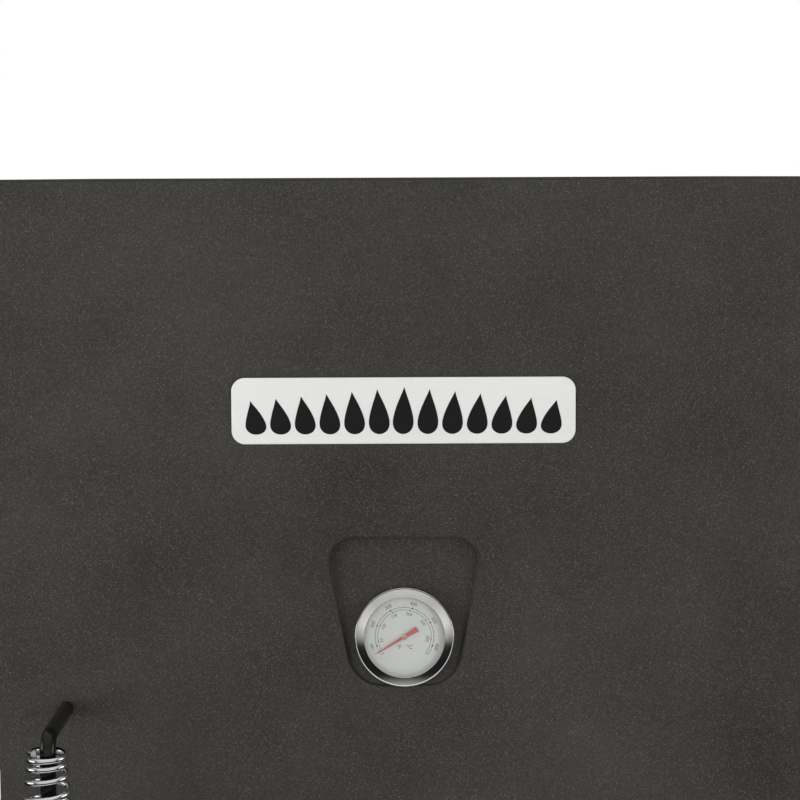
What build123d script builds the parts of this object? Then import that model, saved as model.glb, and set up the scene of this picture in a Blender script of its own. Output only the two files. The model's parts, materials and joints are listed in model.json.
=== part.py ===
"""Vertical water smoker: a square steel cabinet on legs, with a burner at the bottom,
a wood chip box over it, a water pan over that and four cooking racks behind one door.

Frame: +Z up, the door faces -Y, the origin is under the middle of the smoker, on the ground.
Every length is in millimetres.
"""
import math
import os

from build123d import *

# ---------------------------------------------------------------- cabinet
cabinet_width = 430.0       # over the roof's side flanges
cabinet_depth = 370.0       # front frame face to back panel face
cabinet_height = 914.0      # skirt's lower edge to the roof's top
leg_height = 190.0          # ground to the skirt's lower edge
sheet = 1.2                 # cabinet and door steel
tray_bay = 42.0             # height of the bay for the drip tray
control_height = 86.0       # control panel over the tray bay
side_flange = 20.0          # side panels' turned-in edges
roof_flange = 22.0          # roof's turned-down side and back edges
roof_lip = 9.0              # roof's turned-down front edge
bend = 2.0                  # outside radius of a folded edge
frame_stile = 22.0          # width of the front frame's bars

# ---------------------------------------------------------------- door
door_width = 427.0
door_depth = 28.0           # face to rear edge of the folded sides
door_top_gap = 1.2          # roof's top down to the door's top edge
door_bottom_gap = 2.0       # control panel up to the door's lower edge
door_corner = 4.0
door_bend = 1.0             # outside radius of the folded edge round the face
seal_gap = 3.0              # door's rear edge to the front frame
liner_sheet = 1.0
liner_flange = 10.0
gasket_width = 10.0

# ---------------------------------------------------------------- stamped recess and thermometer
recess_top_drop = 187.0     # roof's top down to the recess
recess_height = 78.0
recess_top_width = 84.0
recess_bottom_width = 52.6
recess_top_radius = 13.0
recess_bottom_radius = 18.0
recess_tilt = 3.0           # degrees that the recess floor leans back
recess_shallow = 1.6        # depth at its lower edge
recess_mouth_radius = 1.4   # rolled edge where the recess meets the door's face
recess_floor_radius = 0.7
gauge_drop = 239.0          # roof's top down to the thermometer's centre
bezel_radius = 25.9
bezel_wall = 1.4
bezel_window = 20.9
gauge_depth = 9.0
lens_thickness = 1.0
dial_thickness = 0.6
needle_reach = 17.4
needle_tail = 7.8
needle_angle = 211.0        # degrees, counter-clockwise from the right
pivot_radius = 0.6
stem_radius = 3.2
stem_length = 52.0
boss_radius = 5.0           # threaded boss behind the thermometer
gauge_nut_width = 17.0      # across flats

# ---------------------------------------------------------------- nameplate
plate_drop = 120.0          # roof's top down to the plate's centre
plate_length = 178.5
plate_height = 34.6
plate_thickness = 1.2
plate_radius = 7.0
plate_pin_radius = 1.5
plate_pin_spacing = 130.0

# ---------------------------------------------------------------- door handle
handle_inset = 35.5         # door's left edge to the rod's axis
handle_drop = 277.0         # roof's top down to the upper leg's axis
handle_length = 200.0       # between the axes of the two legs
handle_reach = 64.0         # door face to the rod's axis
rod_radius = 4.0
rod_bend = 8.0
coil_wire_radius = 1.5
coil_end_radius = 9.6       # to the wire's centre
coil_mid_radius = 13.5
coil_turns = 21
nut_width = 13.0            # M8 nut across flats
nut_thickness = 6.5

# ---------------------------------------------------------------- inside
rack_width = 371.0
rack_depth = 338.0
rack_frame_radius = 2.5
rack_bar_radius = 2.2
rack_wire_radius = 1.5
rack_wires = 23
rack_count = 4
rack_first_z = 535.0        # top of the lowest rack's ledge
rack_pitch = 138.0
rack_rear_gap = 5.0
ledge_width = 38.0
ledge_thickness = 2.0
strap_width = 22.0
pan_ledge_z = 447.0
pan_depth = 58.0            # water pan below its rim
pan_rim = 12.0
pan_sheet = 1.2
chip_shelf_drop = 142.0     # water pan's ledge down to the chip box shelf
chip_shelf_depth = 210.0
chip_width = 220.0
chip_length = 150.0
chip_height = 36.0
chip_wall = 2.5
chip_lid = 3.0
flame_opening = 96.0

# ---------------------------------------------------------------- burner and gas
valve_z_drop = 46.0         # door's lower edge down to the valve's axis
burner_radius = 72.0
burner_height = 18.0
venturi_radius = 11.0
valve_width = 24.0
valve_length = 32.0
stem_shaft_radius = 3.0
knob_radius = 24.0
knob_height = 24.0
knob_travel = 3.0
knob_gap = 4.5              # knob's skirt to the bezel
knob_ring_radius = 31.0
knob_ring_thickness = 2.0
gas_pipe_radius = 5.0

# ---------------------------------------------------------------- dampers
damper_radius = 36.0
damper_hole_radius = 11.0
damper_hole_circle = 21.0   # radius that the holes' centres stand on
damper_holes = 3
damper_tab = 9.0            # tab's height above the disc
damper_z = 372.0            # side dampers' height
exhaust_drop = 84.0         # roof's top down to the rear damper
rivet_radius = 3.0
rivet_head_radius = 6.0
rivet_head = 1.6

# ---------------------------------------------------------------- legs, handles and hinges
leg_flange = 36.0
leg_sheet = 2.0
foot_wall = 3.0
foot_height = 16.0
foot_sole = 4.0
bolt_radius = 3.0
bolt_head_radius = 6.0
bolt_head = 3.2
bolt_nut_width = 10.0
bolt_nut = 5.0
screw_radius = 2.0
screw_head_radius = 4.2
screw_head = 2.2
screw_length = 9.0
roof_screw_pitch = 140.0
side_handle_radius = 5.0
side_handle_span = 130.0
side_handle_reach = 42.0
side_handle_bend = 16.0
side_handle_z = 760.0
side_handle_foot = 11.0     # radius of the foot flange
hinge_reach = 7.5           # door's edge to the hinge axis
hinge_set = 8.0             # cabinet's face forward to the hinge axis
hinge_pin_radius = 3.0
hinge_barrel = 6.0          # knuckle's outside radius
hinge_ear = 3.0
hinge_height = 44.0
hinge_inset = 90.0          # door's edge to the hinge's middle
hinge_plate_length = 42.0

# ---------------------------------------------------------------- drip tray
tray_width = 312.0
tray_depth = 300.0
tray_height = 24.0
tray_front_height = 38.0
runner_lip = 10.0

# ---------------------------------------------------------------- clearances
slip = 0.3                  # between faces that slide or rest on another body
running = 0.05              # radial, shaft in its bore
screw_clearance = 0.2       # radial, screw in its hole
edge_gap = 0.6              # between a sliding piece and the panel beside it

# ---------------------------------------------------------------- planes and levels
coil_outer = coil_mid_radius + coil_wire_radius
damper_stack = slip + sheet + damper_tab
overall_depth = coil_outer + handle_reach + door_depth + seal_gap + cabinet_depth + damper_stack
door_face_y = -overall_depth / 2 + coil_outer + handle_reach
door_rear_y = door_face_y + door_depth
frame_y = door_rear_y + seal_gap
back_y = frame_y + cabinet_depth
middle_y = frame_y + cabinet_depth / 2
top_z = leg_height + cabinet_height
base_z = leg_height + tray_bay
door_bottom_z = base_z + control_height + door_bottom_gap
door_top_z = top_z - door_top_gap
door_height = door_top_z - door_bottom_z
door_middle_z = (door_top_z + door_bottom_z) / 2
body_half = cabinet_width / 2 - sheet
inside_half = body_half - sheet
frame_top_z = top_z - roof_lip
opening_half = body_half - frame_stile
control_top_z = base_z + control_height
opening_bottom_z = control_top_z + frame_stile
opening_top_z = frame_top_z - frame_stile
back_panel_y = back_y - 2 * sheet       # back panel's front face, inside the roof's rear flange
inner_front_y = frame_y + 2 * sheet
inner_back_y = back_panel_y - sheet
base_top_z = base_z + sheet
valve_z = door_bottom_z - valve_z_drop
chip_shelf_z = pan_ledge_z - chip_shelf_drop
gas_pipe_y = frame_y + sheet + 22.0
exhaust_z = top_z - exhaust_drop
leg_bolt_zs = (leg_height + 12.0, leg_height + 30.0)
leg_outer_ys = {"front": inner_front_y, "rear": inner_back_y}
side_handle_ys = (middle_y - side_handle_span / 2, middle_y + side_handle_span / 2)

os.makedirs("parts", exist_ok=True)


def save(piece, name):
    """Label a finished piece and write its STEP file."""
    piece.part.label = name
    export_step(piece.part, f"parts/{name}.step")


def facing_front(y):
    """A plane at depth y that faces the viewer: local x is X, local y is Z."""
    return Plane.XZ.offset(-y)


def facing_side(x):
    """A plane across the width at x: local x is Y, local y is Z."""
    return Plane.YZ.offset(x)


def box(low, high, mode=Mode.ADD):
    """A block between two corners."""
    centre = [(a + b) / 2 for a, b in zip(low, high)]
    with Locations(tuple(centre)):
        Box(*(b - a for a, b in zip(low, high)), mode=mode)


def side_name(side):
    return "left" if side < 0 else "right"


def into(end):
    """+1 for a front corner and -1 for a rear one: the way into the cabinet along Y."""
    return 1 if end == "front" else -1


def leg_bolt_y(end):
    return leg_outer_ys[end] + into(end) * leg_flange / 2


def damper_pattern(plane, bore=rivet_radius):
    """A damper's ring of holes and its rivet's hole, drawn on a plane."""
    with BuildSketch(plane) as pattern:
        Circle(bore)
        with PolarLocations(damper_hole_circle, damper_holes, start_angle=90):
            Circle(damper_hole_radius)
    return pattern.sketch


def damper_plane(side):
    """The outward plane on a side panel where its damper turns: local x is Z."""
    return Plane(origin=(side * body_half, middle_y, damper_z), x_dir=(0, 0, 1), z_dir=(side, 0, 0))


exhaust_plane = Plane(origin=(0, back_y - sheet, exhaust_z), x_dir=(0, 0, 1), z_dir=(0, 1, 0))


# ---------------------------------------------------------------- side panels
roof_screw_spots = [
    (middle_y + dy, top_z - roof_flange / 2 - sheet / 2)
    for dy in (-roof_screw_pitch, 0.0, roof_screw_pitch)
]
back_screw_spots = [
    (side * (body_half - side_flange / 2), z)
    for side in (-1, 1)
    for z in (leg_height + 60.0, leg_height + cabinet_height / 2, top_z - roof_flange - 30.0)
]


def side_panel(side):
    """A tall sheet with its front and rear edges turned in, and its holes."""
    panel_height = top_z - sheet - leg_height
    flange_x = side * (body_half - side_flange / 2)
    with BuildPart() as panel:
        with BuildSketch(Plane.XY.offset(leg_height)):
            with Locations((side * (body_half - sheet / 2), (frame_y + back_panel_y + sheet) / 2)):
                Rectangle(sheet, back_panel_y - frame_y - sheet)
            with Locations((flange_x, frame_y + 1.5 * sheet), (flange_x, back_panel_y - sheet / 2)):
                Rectangle(side_flange, sheet)
        extrude(amount=panel_height)
        outer_face = facing_side(side * body_half)
        extrude(damper_pattern(damper_plane(side)), amount=3 * sheet, both=True, mode=Mode.SUBTRACT)
        with BuildSketch(outer_face):
            with Locations(*[(leg_bolt_y(end), z) for end in leg_outer_ys for z in leg_bolt_zs]):
                Circle(bolt_radius + screw_clearance)
            with Locations(*[(y, side_handle_z) for y in side_handle_ys]):
                Circle(bolt_radius + screw_clearance)
            with Locations(*roof_screw_spots):
                Circle(screw_radius + screw_clearance)
            if side > 0:
                with Locations((gas_pipe_y, valve_z)):
                    Circle(gas_pipe_radius + screw_clearance)
        extrude(amount=3 * sheet, both=True, mode=Mode.SUBTRACT)
        with BuildSketch(facing_front(back_panel_y)):
            with Locations(*[spot for spot in back_screw_spots if spot[0] * side > 0]):
                Circle(screw_radius + screw_clearance)
        extrude(amount=3 * sheet, both=True, mode=Mode.SUBTRACT)
    return panel


for side in (-1, 1):
    save(side_panel(side), f"{side_name(side)}_side_panel")

# ---------------------------------------------------------------- back panel
with BuildPart() as back_panel:
    box((-body_half, back_panel_y, leg_height), (body_half, back_panel_y + sheet, top_z - sheet))
    extrude(damper_pattern(exhaust_plane), amount=3 * sheet, both=True, mode=Mode.SUBTRACT)
    with BuildSketch(facing_front(back_panel_y)):
        with Locations(*back_screw_spots):
            Circle(screw_radius + screw_clearance)
    extrude(amount=3 * sheet, both=True, mode=Mode.SUBTRACT)
save(back_panel, "back_panel")

# ---------------------------------------------------------------- roof
with BuildPart() as roof_panel:
    box((-cabinet_width / 2, frame_y, top_z - roof_flange), (cabinet_width / 2, back_y, top_z))
    fillet(roof_panel.edges().group_by(Axis.Z)[-1], radius=bend)
    box((-body_half, frame_y + sheet, top_z - roof_flange), (body_half, back_y - sheet, top_z - sheet),
        mode=Mode.SUBTRACT)
    box((-body_half, frame_y, top_z - roof_flange), (body_half, frame_y + sheet, frame_top_z),
        mode=Mode.SUBTRACT)
    with BuildSketch(facing_side(-cabinet_width / 2)):
        with Locations(*roof_screw_spots):
            Circle(screw_radius + screw_clearance)
    extrude(amount=cabinet_width + 1, mode=Mode.SUBTRACT)
save(roof_panel, "roof_panel")

# ---------------------------------------------------------------- front frame and control panel
with BuildPart() as front_frame:
    box((-body_half, frame_y, control_top_z), (body_half, frame_y + sheet, frame_top_z))
    box((-opening_half, frame_y - sheet, opening_bottom_z),
        (opening_half, frame_y + 2 * sheet, opening_top_z), mode=Mode.SUBTRACT)
save(front_frame, "front_frame")

valve_nose_radius = 7.0
with BuildPart() as control_panel:
    box((-body_half, frame_y, base_z), (body_half, frame_y + sheet, control_top_z))
    with BuildSketch(facing_front(frame_y)):
        with Locations((0, valve_z)):
            Circle(valve_nose_radius + screw_clearance)
    extrude(amount=3 * sheet, both=True, mode=Mode.SUBTRACT)
save(control_panel, "control_panel")

# ---------------------------------------------------------------- cabinet floor
floor_flange = 15.0
drain_radius = 14.0
drain_set = 120.0           # behind the cabinet's middle
air_hole_radius = 6.0
with BuildPart() as base_panel:
    box((-inside_half, inner_front_y, base_z), (inside_half, inner_back_y, base_z + floor_flange))
    box((-inside_half + sheet, inner_front_y - 1, base_top_z), (inside_half - sheet, inner_back_y + 1, top_z),
        mode=Mode.SUBTRACT)
    with BuildSketch(Plane.XY.offset(base_z)):
        with Locations((0, middle_y + drain_set)):
            Circle(drain_radius)
        with Locations((-120.0, middle_y), (120.0, middle_y)):
            with GridLocations(30.0, 32.0, 2, 5):
                Circle(air_hole_radius)
    extrude(amount=3 * sheet, both=True, mode=Mode.SUBTRACT)
save(base_panel, "base_panel")


# ---------------------------------------------------------------- legs, feet and their bolts
def corner_angle(side, end, thickness, grow=0.0):
    """Plan of an angle in a cabinet corner, its outer faces grown by a given amount."""
    x = side * (inside_half + grow)
    y = leg_outer_ys[end] - into(end) * grow
    reach = leg_flange + 2 * grow
    wall = thickness + 2 * grow
    dx = -side
    dy = into(end)
    with BuildSketch() as plan:
        with BuildLine():
            Polyline(
                (x, y), (x + dx * reach, y), (x + dx * reach, y + dy * wall), (x + dx * wall, y + dy * wall),
                (x + dx * wall, y + dy * reach), (x, y + dy * reach), close=True,
            )
        make_face()
    return plan.sketch


for end in ("front", "rear"):
    for side in (-1, 1):
        with BuildPart() as leg:
            with BuildSketch(Plane.XY.offset(foot_sole)):
                add(corner_angle(side, end, leg_sheet))
            extrude(amount=base_z - foot_sole)
            with BuildSketch(facing_side(side * inside_half)):
                with Locations(*[(leg_bolt_y(end), z) for z in leg_bolt_zs]):
                    Circle(bolt_radius + screw_clearance)
            extrude(amount=2 * leg_sheet, both=True, mode=Mode.SUBTRACT)
        save(leg, f"{end}_{side_name(side)}_leg")

with BuildPart() as foot_caps:
    with BuildSketch():
        for end in ("front", "rear"):
            for side in (-1, 1):
                add(corner_angle(side, end, leg_sheet, grow=foot_wall))
    extrude(amount=foot_height)
    fillet(foot_caps.edges().group_by(Axis.Z)[-1], radius=1.0)
    with BuildSketch(Plane.XY.offset(foot_sole)):
        for end in ("front", "rear"):
            for side in (-1, 1):
                add(corner_angle(side, end, leg_sheet))
    extrude(amount=foot_height, mode=Mode.SUBTRACT)
save(foot_caps, "foot_caps")


def leg_bolt_planes():
    """The outward-facing planes on the side panels where the leg bolts go in."""
    return [
        Plane(origin=(side * body_half, leg_bolt_y(end), z), z_dir=(side, 0, 0))
        for side in (-1, 1) for end in leg_outer_ys for z in leg_bolt_zs
    ]


leg_grip = sheet + leg_sheet
with BuildPart() as leg_bolts:
    with Locations(*leg_bolt_planes()):
        Cylinder(bolt_head_radius, bolt_head, align=(Align.CENTER, Align.CENTER, Align.MIN))
        Cylinder(bolt_radius, leg_grip + bolt_nut + 2, align=(Align.CENTER, Align.CENTER, Align.MAX))
    fillet(leg_bolts.edges().filter_by(GeomType.CIRCLE).filter_by(
        lambda edge: abs(edge.center().X) > body_half + bolt_head / 2), radius=1.4)
save(leg_bolts, "leg_bolts")


# ---------------------------------------------------------------- rack supports
ledge_levels = [pan_ledge_z] + [rack_first_z + rack_pitch * i for i in range(rack_count)]
ledge_lip = 8.0
strap_thickness = 1.5
strap_spread = 260.0        # between the two straps on a side
strap_run_on = 18.0         # strap past its last ledge
ledge_end_gap = 4.0
for side in (-1, 1):
    strap_face = inside_half - strap_thickness
    with BuildPart() as rack_support:
        for y in (middle_y - strap_spread / 2, middle_y + strap_spread / 2):
            low, high = sorted((side * strap_face, side * inside_half))
            box((low, y - strap_width / 2, ledge_levels[0] - ledge_lip - strap_run_on),
                (high, y + strap_width / 2, ledge_levels[-1] + strap_run_on))
        for level in ledge_levels:
            inner = strap_face - ledge_width
            low, high = sorted((side * inner, side * strap_face))
            box((low, inner_front_y + ledge_end_gap, level - ledge_thickness),
                (high, inner_back_y - ledge_end_gap, level))
            low, high = sorted((side * inner, side * (inner + ledge_thickness)))
            box((low, inner_front_y + ledge_end_gap, level - ledge_lip),
                (high, inner_back_y - ledge_end_gap, level))
    save(rack_support, f"{side_name(side)}_rack_support")

# ---------------------------------------------------------------- cooking racks
rack_back_y = inner_back_y - rack_rear_gap
rack_middle_y = rack_back_y - rack_depth / 2
rack_bar_spread = 120.0     # between the two bars under the wires
rack_corner = 9.0
wire_bite = 0.8             # how far a weld sinks one wire into the next
for number, level in enumerate(ledge_levels[1:], start=1):
    frame_z = level + slip + rack_frame_radius
    wire_z = frame_z + rack_frame_radius + rack_wire_radius - wire_bite
    rim_x = rack_width / 2 - rack_frame_radius
    rim_y = rack_depth / 2 - rack_frame_radius
    wire_reach = rim_y + rack_frame_radius / 2
    with BuildSketch(Plane.XY.offset(frame_z)) as rim:
        with Locations((0, rack_middle_y)):
            RectangleRounded(2 * rim_x, 2 * rim_y, rack_corner)
    rim_path = rim.sketch.faces()[0].outer_wire()
    with BuildPart() as rack:
        with BuildSketch(rim_path ^ 0):
            Circle(rack_frame_radius)
        sweep(path=rim_path)
        for y in (rack_middle_y - rack_bar_spread / 2, rack_middle_y + rack_bar_spread / 2):
            with Locations(Plane(origin=(0, y, frame_z), z_dir=(1, 0, 0))):
                Cylinder(rack_bar_radius, 2 * rim_x)
        wire_pitch = 2 * rim_x / (rack_wires + 1)
        with Locations(*[
            Plane(origin=((i - (rack_wires - 1) / 2) * wire_pitch, rack_middle_y, wire_z), z_dir=(0, 1, 0))
            for i in range(rack_wires)
        ]):
            Cylinder(rack_wire_radius, 2 * wire_reach)
    save(rack, f"cooking_rack_{number}")

# ---------------------------------------------------------------- water pan
pan_rim_z = pan_ledge_z + slip
pan_corner = 30.0
pan_wall_lean = 8.0         # degrees
pan_floor_radius = 8.0
pan_well_margin = 14.0      # width left for the pan's rim over the two ledges
pan_length = 318.0
pan_width = rack_width
pan_well_width = 2 * (inside_half - strap_thickness - ledge_width) - pan_well_margin
pan_well_length = pan_length - 2 * pan_rim
pan_top_z = pan_rim_z + pan_sheet
pan_taper = pan_depth * math.tan(math.radians(pan_wall_lean))


def pan_well(shrink, floor_z):
    """The pan's tapered well as a solid, its walls set in by an amount."""
    with BuildPart() as well:
        for z, inset in ((pan_top_z, shrink), (floor_z, shrink + pan_taper)):
            with BuildSketch(Plane.XY.offset(z)):
                with Locations((0, rack_middle_y)):
                    RectangleRounded(
                        pan_well_width - 2 * inset, pan_well_length - 2 * inset, pan_corner - shrink)
        loft()
        fillet(well.faces().sort_by(Axis.Z)[0].edges(), radius=pan_floor_radius - shrink)
    return well.part


with BuildPart() as water_pan:
    with BuildSketch(Plane.XY.offset(pan_rim_z)):
        with Locations((0, rack_middle_y)):
            RectangleRounded(pan_width, pan_length, pan_rim)
    extrude(amount=pan_sheet)
    add(pan_well(0.0, pan_top_z - pan_depth))
    add(pan_well(pan_sheet, pan_top_z - pan_depth + pan_sheet), mode=Mode.SUBTRACT)
save(water_pan, "water_pan")

# ---------------------------------------------------------------- chip box, its lid and its shelf
chip_shelf_sheet = 1.5
chip_shelf_flange = 14.0
flame_openings_apart = 104.0
with BuildPart() as chip_box_shelf:
    shelf_front_y = middle_y - chip_shelf_depth / 2
    shelf_rear_y = middle_y + chip_shelf_depth / 2
    box((-inside_half, shelf_front_y, chip_shelf_z), (inside_half, shelf_rear_y, chip_shelf_z + chip_shelf_flange))
    box((-inside_half + chip_shelf_sheet, shelf_front_y - 1, chip_shelf_z + chip_shelf_sheet),
        (inside_half - chip_shelf_sheet, shelf_rear_y + 1, chip_shelf_z + 2 * chip_shelf_flange), mode=Mode.SUBTRACT)
    with BuildSketch(Plane.XY.offset(chip_shelf_z)):
        with Locations((-flame_openings_apart / 2, middle_y), (flame_openings_apart / 2, middle_y)):
            RectangleRounded(flame_opening, flame_opening, 8.0)
    extrude(amount=3 * chip_shelf_sheet, both=True, mode=Mode.SUBTRACT)
save(chip_box_shelf, "chip_box_shelf")

chip_bottom_z = chip_shelf_z + chip_shelf_sheet + slip
chip_top_z = chip_bottom_z + chip_height
chip_corner = 10.0
chip_ear = 16.0
chip_slots = 6
with BuildPart() as chip_box:
    with BuildSketch(Plane.XY.offset(chip_bottom_z)):
        with Locations((0, middle_y)):
            RectangleRounded(chip_width, chip_length, chip_corner)
    extrude(amount=chip_height)
    fillet(chip_box.edges().group_by(Axis.Z)[0], radius=3.0)
    with BuildSketch(Plane.XY.offset(chip_bottom_z + chip_wall)):
        with Locations((0, middle_y)):
            RectangleRounded(chip_width - 2 * chip_wall, chip_length - 2 * chip_wall, chip_corner - chip_wall)
    extrude(amount=chip_height, mode=Mode.SUBTRACT)
    with BuildSketch(Plane.XY.offset(chip_top_z - chip_wall)):
        with Locations((0, middle_y - chip_length / 2)):
            SlotOverall(60.0, 2 * chip_ear)
        with Locations((0, middle_y)):
            Rectangle(chip_width, chip_length - 2 * chip_wall, mode=Mode.SUBTRACT)
        with Locations((0, middle_y - chip_length / 2 - chip_ear / 2)):
            SlotOverall(26.0, 8.0, mode=Mode.SUBTRACT)
    extrude(amount=chip_wall)
save(chip_box, "chip_box")

lid_bottom_z = chip_top_z + slip
lid_knob_radius = 8.0
lid_knob_height = 9.0
lid_skirt = 5.0
with BuildPart() as chip_box_lid:
    with BuildSketch(Plane.XY.offset(lid_bottom_z)):
        with Locations((0, middle_y)):
            RectangleRounded(chip_width, chip_length, chip_corner)
    extrude(amount=chip_lid)
    fillet(chip_box_lid.edges().group_by(Axis.Z)[-1], radius=1.2)
    skirt_width = chip_width - 2 * chip_wall - 2 * edge_gap
    skirt_length = chip_length - 2 * chip_wall - 2 * edge_gap
    with BuildSketch(Plane.XY.offset(lid_bottom_z)):
        with Locations((0, middle_y)):
            RectangleRounded(skirt_width, skirt_length, chip_corner - chip_wall - edge_gap)
            RectangleRounded(skirt_width - 2 * chip_wall, skirt_length - 2 * chip_wall, 4.0, mode=Mode.SUBTRACT)
    extrude(amount=-lid_skirt)
    with BuildSketch(Plane.XY.offset(lid_bottom_z)):
        with Locations((0, middle_y)):
            with GridLocations(30.0, 84.0, chip_slots, 2):
                SlotOverall(32.0, 5.0, rotation=90)
    extrude(amount=chip_lid, mode=Mode.SUBTRACT)
    with Locations((0, middle_y, lid_bottom_z + chip_lid)):
        Cylinder(lid_knob_radius / 2, lid_knob_height, align=(Align.CENTER, Align.CENTER, Align.MIN))
    with Locations((0, middle_y, lid_bottom_z + chip_lid + lid_knob_height / 2)):
        Cylinder(lid_knob_radius, lid_knob_height / 2, align=(Align.CENTER, Align.CENTER, Align.MIN))
    fillet(chip_box_lid.edges().group_by(Axis.Z)[-1], radius=1.5)
save(chip_box_lid, "chip_box_lid")

# ---------------------------------------------------------------- burner
burner_ring_width = 26.0
burner_cavity = 4.0         # casting's wall
burner_ports = 24
burner_leg_radius = 5.0
socket_radius = 15.0
socket_length = 20.0
burner_low_z = valve_z - burner_height / 2
ring_middle = burner_radius - burner_ring_width / 2
socket_y = middle_y - burner_radius - socket_length / 2
with BuildPart() as burner:
    with BuildSketch(facing_front(middle_y)):
        with Locations((ring_middle, valve_z)):
            RectangleRounded(burner_ring_width, burner_height, 5.0)
    revolve(axis=Axis((0, middle_y, 0), (0, 0, 1)))
    with Locations(Plane(origin=(0, socket_y - socket_length / 2, valve_z), z_dir=(0, 1, 0))):
        Cylinder(socket_radius, socket_length + burner_ring_width / 2,
                 align=(Align.CENTER, Align.CENTER, Align.MIN))
    with Locations((0, middle_y, base_top_z)):
        with PolarLocations(ring_middle, 3, start_angle=90):
            Cylinder(burner_leg_radius, burner_low_z - base_top_z + burner_cavity / 2,
                     align=(Align.CENTER, Align.CENTER, Align.MIN))
    with BuildSketch(facing_front(middle_y)):
        with Locations((ring_middle, valve_z)):
            Rectangle(burner_ring_width - 2 * burner_cavity, burner_height - 2 * burner_cavity)
    revolve(axis=Axis((0, middle_y, 0), (0, 0, 1)), mode=Mode.SUBTRACT)
    with Locations(Plane(origin=(0, socket_y - socket_length / 2 - 1, valve_z), z_dir=(0, 1, 0))):
        Cylinder(venturi_radius, socket_length, align=(Align.CENTER, Align.CENTER, Align.MIN), mode=Mode.SUBTRACT)
        Cylinder(burner_cavity, socket_length + burner_ring_width / 2,
                 align=(Align.CENTER, Align.CENTER, Align.MIN), mode=Mode.SUBTRACT)
    with Locations((0, middle_y, valve_z)):
        with PolarLocations(ring_middle, burner_ports):
            Cylinder(1.6, burner_height, align=(Align.CENTER, Align.CENTER, Align.MIN), mode=Mode.SUBTRACT)
save(burner, "burner")

# ---------------------------------------------------------------- gas valve, pipe and venturi tube
valve_front_y = frame_y + sheet
valve_rear_y = valve_front_y + valve_length
valve_nose = 1.0            # nose's stand-out from the control panel
stem_seat = 16.0            # stem's length inside the valve
valve_chamfer = 3.0
orifice_radius = 5.0
orifice_length = 7.0
with BuildPart() as gas_valve:
    box((-valve_width / 2, valve_front_y, valve_z - valve_width / 2),
        (valve_width / 2, valve_rear_y, valve_z + valve_width / 2))
    chamfer(gas_valve.edges().filter_by(Axis.Y), length=valve_chamfer)
    with Locations(facing_front(valve_front_y) * Pos(0, valve_z)):
        Cylinder(valve_nose_radius, sheet + valve_nose, align=(Align.CENTER, Align.CENTER, Align.MIN))
    with Locations(Plane(origin=(0, valve_rear_y, valve_z), z_dir=(0, 1, 0))):
        Cylinder(orifice_radius, orifice_length, align=(Align.CENTER, Align.CENTER, Align.MIN))
    with Locations(facing_front(frame_y - valve_nose) * Pos(0, valve_z)):
        Cylinder(stem_shaft_radius + running, stem_seat + slip, align=(Align.CENTER, Align.CENTER, Align.MAX),
                 mode=Mode.SUBTRACT)
save(gas_valve, "gas_valve")

gas_hex_width = 19.0
gas_hex_length = 8.0
gas_thread_radius = 7.9
gas_thread_length = 14.0
gas_bore_radius = 3.6
with BuildPart() as gas_inlet_pipe:
    along_x = Plane(origin=(valve_width / 2, gas_pipe_y, valve_z), z_dir=(1, 0, 0))
    hex_start = body_half + 1.0 - valve_width / 2
    with BuildSketch(along_x):
        Circle(gas_pipe_radius)
    extrude(amount=hex_start)
    with BuildSketch(along_x.offset(hex_start)):
        RegularPolygon(gas_hex_width / 2, 6, major_radius=False)
    extrude(amount=gas_hex_length)
    with BuildSketch(along_x.offset(hex_start + gas_hex_length)):
        Circle(gas_thread_radius)
    extrude(amount=gas_thread_length)
    with BuildSketch(along_x):
        Circle(gas_bore_radius)
    extrude(amount=hex_start + gas_hex_length + gas_thread_length, mode=Mode.SUBTRACT)
save(gas_inlet_pipe, "gas_inlet_pipe")

venturi_wall = 1.4
venturi_start_y = valve_rear_y + 2.0
venturi_end_y = socket_y + socket_length / 2 - 2.0
with BuildPart() as venturi_tube:
    with BuildSketch(facing_front(venturi_start_y)):
        with Locations((0, valve_z)):
            Circle(venturi_radius)
            Circle(venturi_radius - venturi_wall, mode=Mode.SUBTRACT)
    extrude(amount=-(venturi_end_y - venturi_start_y))
    with Locations((0, venturi_start_y + 18.0, valve_z)):
        Box(4 * venturi_radius, 14.0, 8.0, mode=Mode.SUBTRACT)
save(venturi_tube, "venturi_tube")

# ---------------------------------------------------------------- igniter
igniter_x = -40.0
igniter_z = valve_z + burner_height / 2 + 7.0
igniter_rear_y = middle_y - 130.0
ceramic_radius = 3.5
ceramic_length = 40.0
spark_pin_radius = 1.0
spark_pin_length = 12.0
bracket_sheet = 2.0
along_igniter = Plane(origin=(igniter_x, igniter_rear_y, igniter_z), z_dir=(0, 1, 0))
with BuildPart() as igniter_electrode:
    with BuildSketch(along_igniter):
        Circle(ceramic_radius)
    extrude(amount=ceramic_length)
    with BuildSketch(along_igniter.offset(ceramic_length)):
        Circle(spark_pin_radius)
    extrude(amount=spark_pin_length)
save(igniter_electrode, "igniter_electrode")

bracket_width = 14.0
bracket_y = igniter_rear_y + ceramic_length / 2
with BuildPart() as igniter_bracket:
    box((igniter_x - bracket_width / 2, bracket_y, base_top_z),
        (igniter_x + bracket_width / 2, bracket_y + bracket_sheet, igniter_z + bracket_width / 2))
    box((igniter_x - bracket_width / 2, bracket_y, base_top_z),
        (igniter_x + bracket_width / 2, bracket_y + bracket_width, base_top_z + bracket_sheet))
    with Locations(along_igniter):
        Cylinder(ceramic_radius, 3 * ceramic_length, mode=Mode.SUBTRACT)
save(igniter_bracket, "igniter_bracket")

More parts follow.
